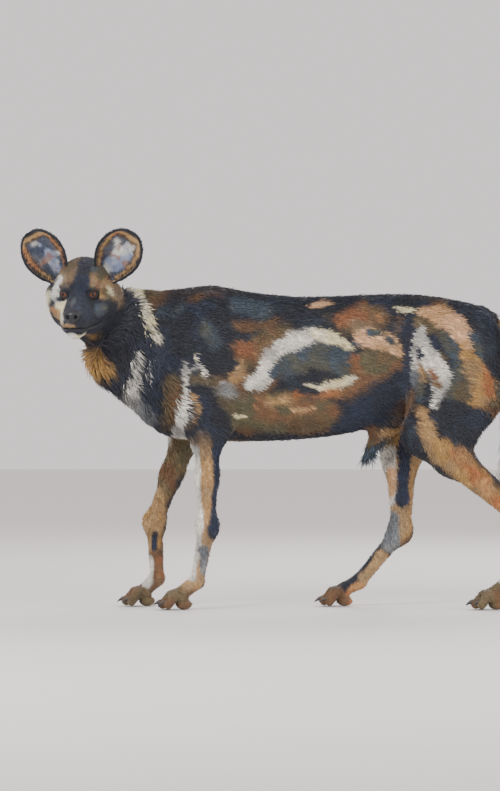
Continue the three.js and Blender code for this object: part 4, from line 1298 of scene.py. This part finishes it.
def body_length(p):
    """Longer hair on the neck, ruff and breeches, and shorter hair down the legs."""
    x, y, z = p.T
    length = np.full(len(p), 15.0)
    length = lerp(length, 22, smoothstep(-x, 230, 330) * smoothstep(z, 380, 430))
    ruff = smoothstep(-x - 0.55 * (z - 520), 262, 310) * smoothstep(z, 400, 450)
    length = lerp(length, 40, ruff)
    breeches = smoothstep(x - 0.2 * (z - 480), 392, 432) * smoothstep(z, 380, 430)
    length = lerp(length, 24, breeches)
    length = lerp(length, 9, 1 - smoothstep(z, 250, 370))
    return lerp(length, 5, 1 - smoothstep(z, 60, 150))


def body_density(p):
    """Tufts for each square millimetre of skin."""
    x, y, z = p.T
    rate = np.where(x < -270, 1 / 8, 1 / 13)
    rate = np.where(z < 380, 1 / 12, rate)
    rate = np.where(z < 10, 0, rate)
    tail = (x > 446) & (np.abs(y) < 32) & (z > 230) & (z > 300 - (x - 446))
    return np.where(tail & (z < 590), 0, rate)


roots = scatter(body_points, body_quads, body_density)
normals = unit(gradient(skin_field, roots))
length = body_length(roots)
grow("coat", "torso", roots, normals, flow(roots), length, 1.3 + 0.05 * length, 0.28, coat_colour(roots))


def head_density(p):
    on_nose = muscle(NOSE_CENTRE, (18, 22, 17))(into_head(p)) < 0
    return np.where(on_nose, 0, 1 / 5)


roots = scatter(head_points, head_quads, head_density)
q = into_head(roots)
clear = np.ones(len(q), bool)
for s in (1, -1):
    clear &= np.linalg.norm(q - EYES[s], axis=1) > EYE_RADIUS + 5
clear &= nearest(LIPS, q) > 3
roots, q = roots[clear], q[clear]
normals = unit(gradient(skin_field, roots))
length = lerp(10.0, 5.0, smoothstep(q[:, 0], -30, 40))
length = lerp(length, 20, smoothstep(np.abs(q[:, 1]), 52, 74) * smoothstep(-q[:, 0], 30, 70))
grow("face_coat", "head", roots, normals, flow(roots), length, 0.8 + 0.08 * length, 0.32, coat_colour(roots))


# Tail brush: long locks from the tail's bone, black in the middle and white at the end
TAIL_LOCKS = 5200
BELLY_LOCKS = 420


def tail_locks():
    t = rng.uniform(0.3, 1.0, TAIL_LOCKS)
    at = spline(TAIL_PATH, t)
    ahead = unit(spline(TAIL_PATH, np.minimum(t + 0.01, 1)) - spline(TAIL_PATH, t - 0.01))
    turn = rng.uniform(0, 2 * math.pi, TAIL_LOCKS)
    side = unit(np.cross(ahead, vec(0, 1, 0)))
    other = np.cross(ahead, side)
    normals = side * np.cos(turn)[:, None] + other * np.sin(turn)[:, None]
    bone = np.interp(t, np.linspace(0, 1, len(TAIL_BONE)), TAIL_BONE)
    roots = at + normals * (bone * 0.8)[:, None]
    length = 34 + 38 * smoothstep(t, 0.3, 0.65) - 10 * smoothstep(t, 0.85, 1)
    lift = 0.36 + 0.22 * smoothstep(t, 0.4, 0.6)
    tint = markings(at + normals * 12)
    grow("tail_hair", "tail", roots, normals, ahead, length, 4.2, lift, tint, droop=0.75, sway=0.16)


tail_locks()


# Belly: the long dark tuft that hangs from the sheath
def belly_tuft():
    t = rng.random(BELLY_LOCKS)
    at = lerp(vec(190, 0, 398), vec(146, 0, 346), t[:, None])
    turn = rng.uniform(0, 2 * math.pi, BELLY_LOCKS)
    normals = unit(np.stack([0.4 * np.cos(turn) - 0.2, np.sin(turn), -0.5 + 0.5 * np.cos(turn)], 1))
    down = np.tile(unit(vec(-0.25, 0, -1)), (BELLY_LOCKS, 1))
    tint = SLATE * rng.uniform(0.6, 1.3, BELLY_LOCKS)[:, None]
    grow("belly_hair", "torso", at + normals * 6, normals, down, 26 + 16 * t, 3.0, 0.3, tint, sway=0.2)


belly_tuft()


# Ear hair: soft hair inside, a fringe along each rim and short hair on the back
INNER_HAIR = 3000
RIM_HAIR = 1800
BACK_HAIR = 3000


def ear_hair(s, hand):
    root, up, front, across = ear_frame(s)

    def cover(place, at, normals, lie, *rest, sway):
        turned_out = (from_head(at), normals @ HEAD_TURN.T, lie @ HEAD_TURN.T)
        grow(f"ear_{place}_{hand}", f"ear_{hand}", *turned_out, *rest, sway=sway)

    u = rng.uniform(0.06, 0.94, INNER_HAIR)
    v = np.sign(rng.random(INNER_HAIR) - 0.5) * rng.uniform(0.15, 0.97, INNER_HAIR)
    at = ear_at(s, u, v, -EAR_THICKNESS * 0.4)
    normals = unit(front - across * (0.8 * v)[:, None])
    lie = unit(up * 0.8 - across * (0.72 * np.sign(v))[:, None])
    tint = ear_tint(s, from_head(at), u, 1 - np.abs(v), np.ones(INNER_HAIR))
    tint = np.clip(tint * rng.uniform(0.9, 1.5, INNER_HAIR)[:, None], 0, 1)
    length = lerp(11.0, 6.0, smoothstep(u, 0.7, 0.9))
    cover("hair", at, normals, lie, length, 1.0, 0.2, tint, sway=0.3)

    a = rng.uniform(-1, 1, RIM_HAIR)
    round_top = EAR_WIDEST + (0.99 - EAR_WIDEST) * np.sin(rng.uniform(0, math.pi / 2, RIM_HAIR))
    up_side = rng.random(RIM_HAIR) < 0.4
    along = np.where(up_side, rng.uniform(0.1, EAR_WIDEST, RIM_HAIR), round_top)
    u = np.where(np.abs(a) > 0.2, along, 0.988)
    v = np.where(np.abs(a) > 0.2, np.sign(a), a / 0.2)
    at = ear_at(s, u, v, 0.0)
    centre = ear_at(s, np.full(RIM_HAIR, 0.5), np.zeros(RIM_HAIR), 0.0)
    outward = unit(at - centre)
    tint = np.tile(INK * 0.8, (RIM_HAIR, 1))
    normals = unit(outward + front * 0.2)
    lie = unit(up + outward * 0.6)
    cover("rim", at, normals, lie, np.full(RIM_HAIR, 7.0), 1.3, 0.3, tint, sway=0.25)

    u, v = rng.uniform(0.02, 0.97, BACK_HAIR), rng.uniform(-1, 1, BACK_HAIR)
    at = ear_at(s, u, v, EAR_THICKNESS * 0.4)
    normals = unit(at - ear_at(s, u, v, -EAR_THICKNESS))
    lie = np.tile(up, (BACK_HAIR, 1))
    tint = np.tile(INK, (BACK_HAIR, 1))
    cover("back", at, normals, lie, np.full(BACK_HAIR, 7.0), 1.4, 0.16, tint, sway=0.25)


for s, hand in SIDES:
    ear_hair(s, hand)


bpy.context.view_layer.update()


# Floor, lights and camera
bpy.ops.mesh.primitive_plane_add(size=30)
floor = bpy.context.object
floor.name = "floor"
floor_paint, principled = new_material("floor_paint", 0.8)
set_inputs(principled, {"Base Color": (0.78, 0.75, 0.73, 1)})
floor.data.materials.append(floor_paint)

world = bpy.context.scene.world or bpy.data.worlds.new("World")
bpy.context.scene.world = world
world.use_nodes = True
set_inputs(world.node_tree.nodes["Background"], {"Color": (0.96, 0.91, 0.9, 1), "Strength": 1.08})


def lamp(name, at, power, size, aim=(0, 0, 0.45)):
    light = bpy.data.lights.new(name, "AREA")
    light.energy = power
    light.size = size
    made = add_object(name, light)
    made.location = at
    made.rotation_euler = (Vector(aim) - Vector(at)).to_track_quat("-Z", "Y").to_euler()


lamp("key", (-1.8, -2.8, 2.6), 110, 1.6)
lamp("fill", (2.6, -2.2, 1.4), 40, 2.2)
lamp("rim", (1.2, 2.8, 2.6), 70, 1.8)

AIM = vec(-110, 0, 467.5)
CAMERA_DISTANCE = 8.0
LENS = 165.5

camera = bpy.data.cameras.new("Camera")
camera.sensor_width = 36
camera.lens = LENS
camera.clip_end = 60
eye = add_object("Camera", camera)
aim = Vector(to_row(AIM))
eye.location = (aim.x, aim.y - CAMERA_DISTANCE, aim.z)
eye.rotation_euler = (math.radians(90), 0, 0)
bpy.context.scene.camera = eye
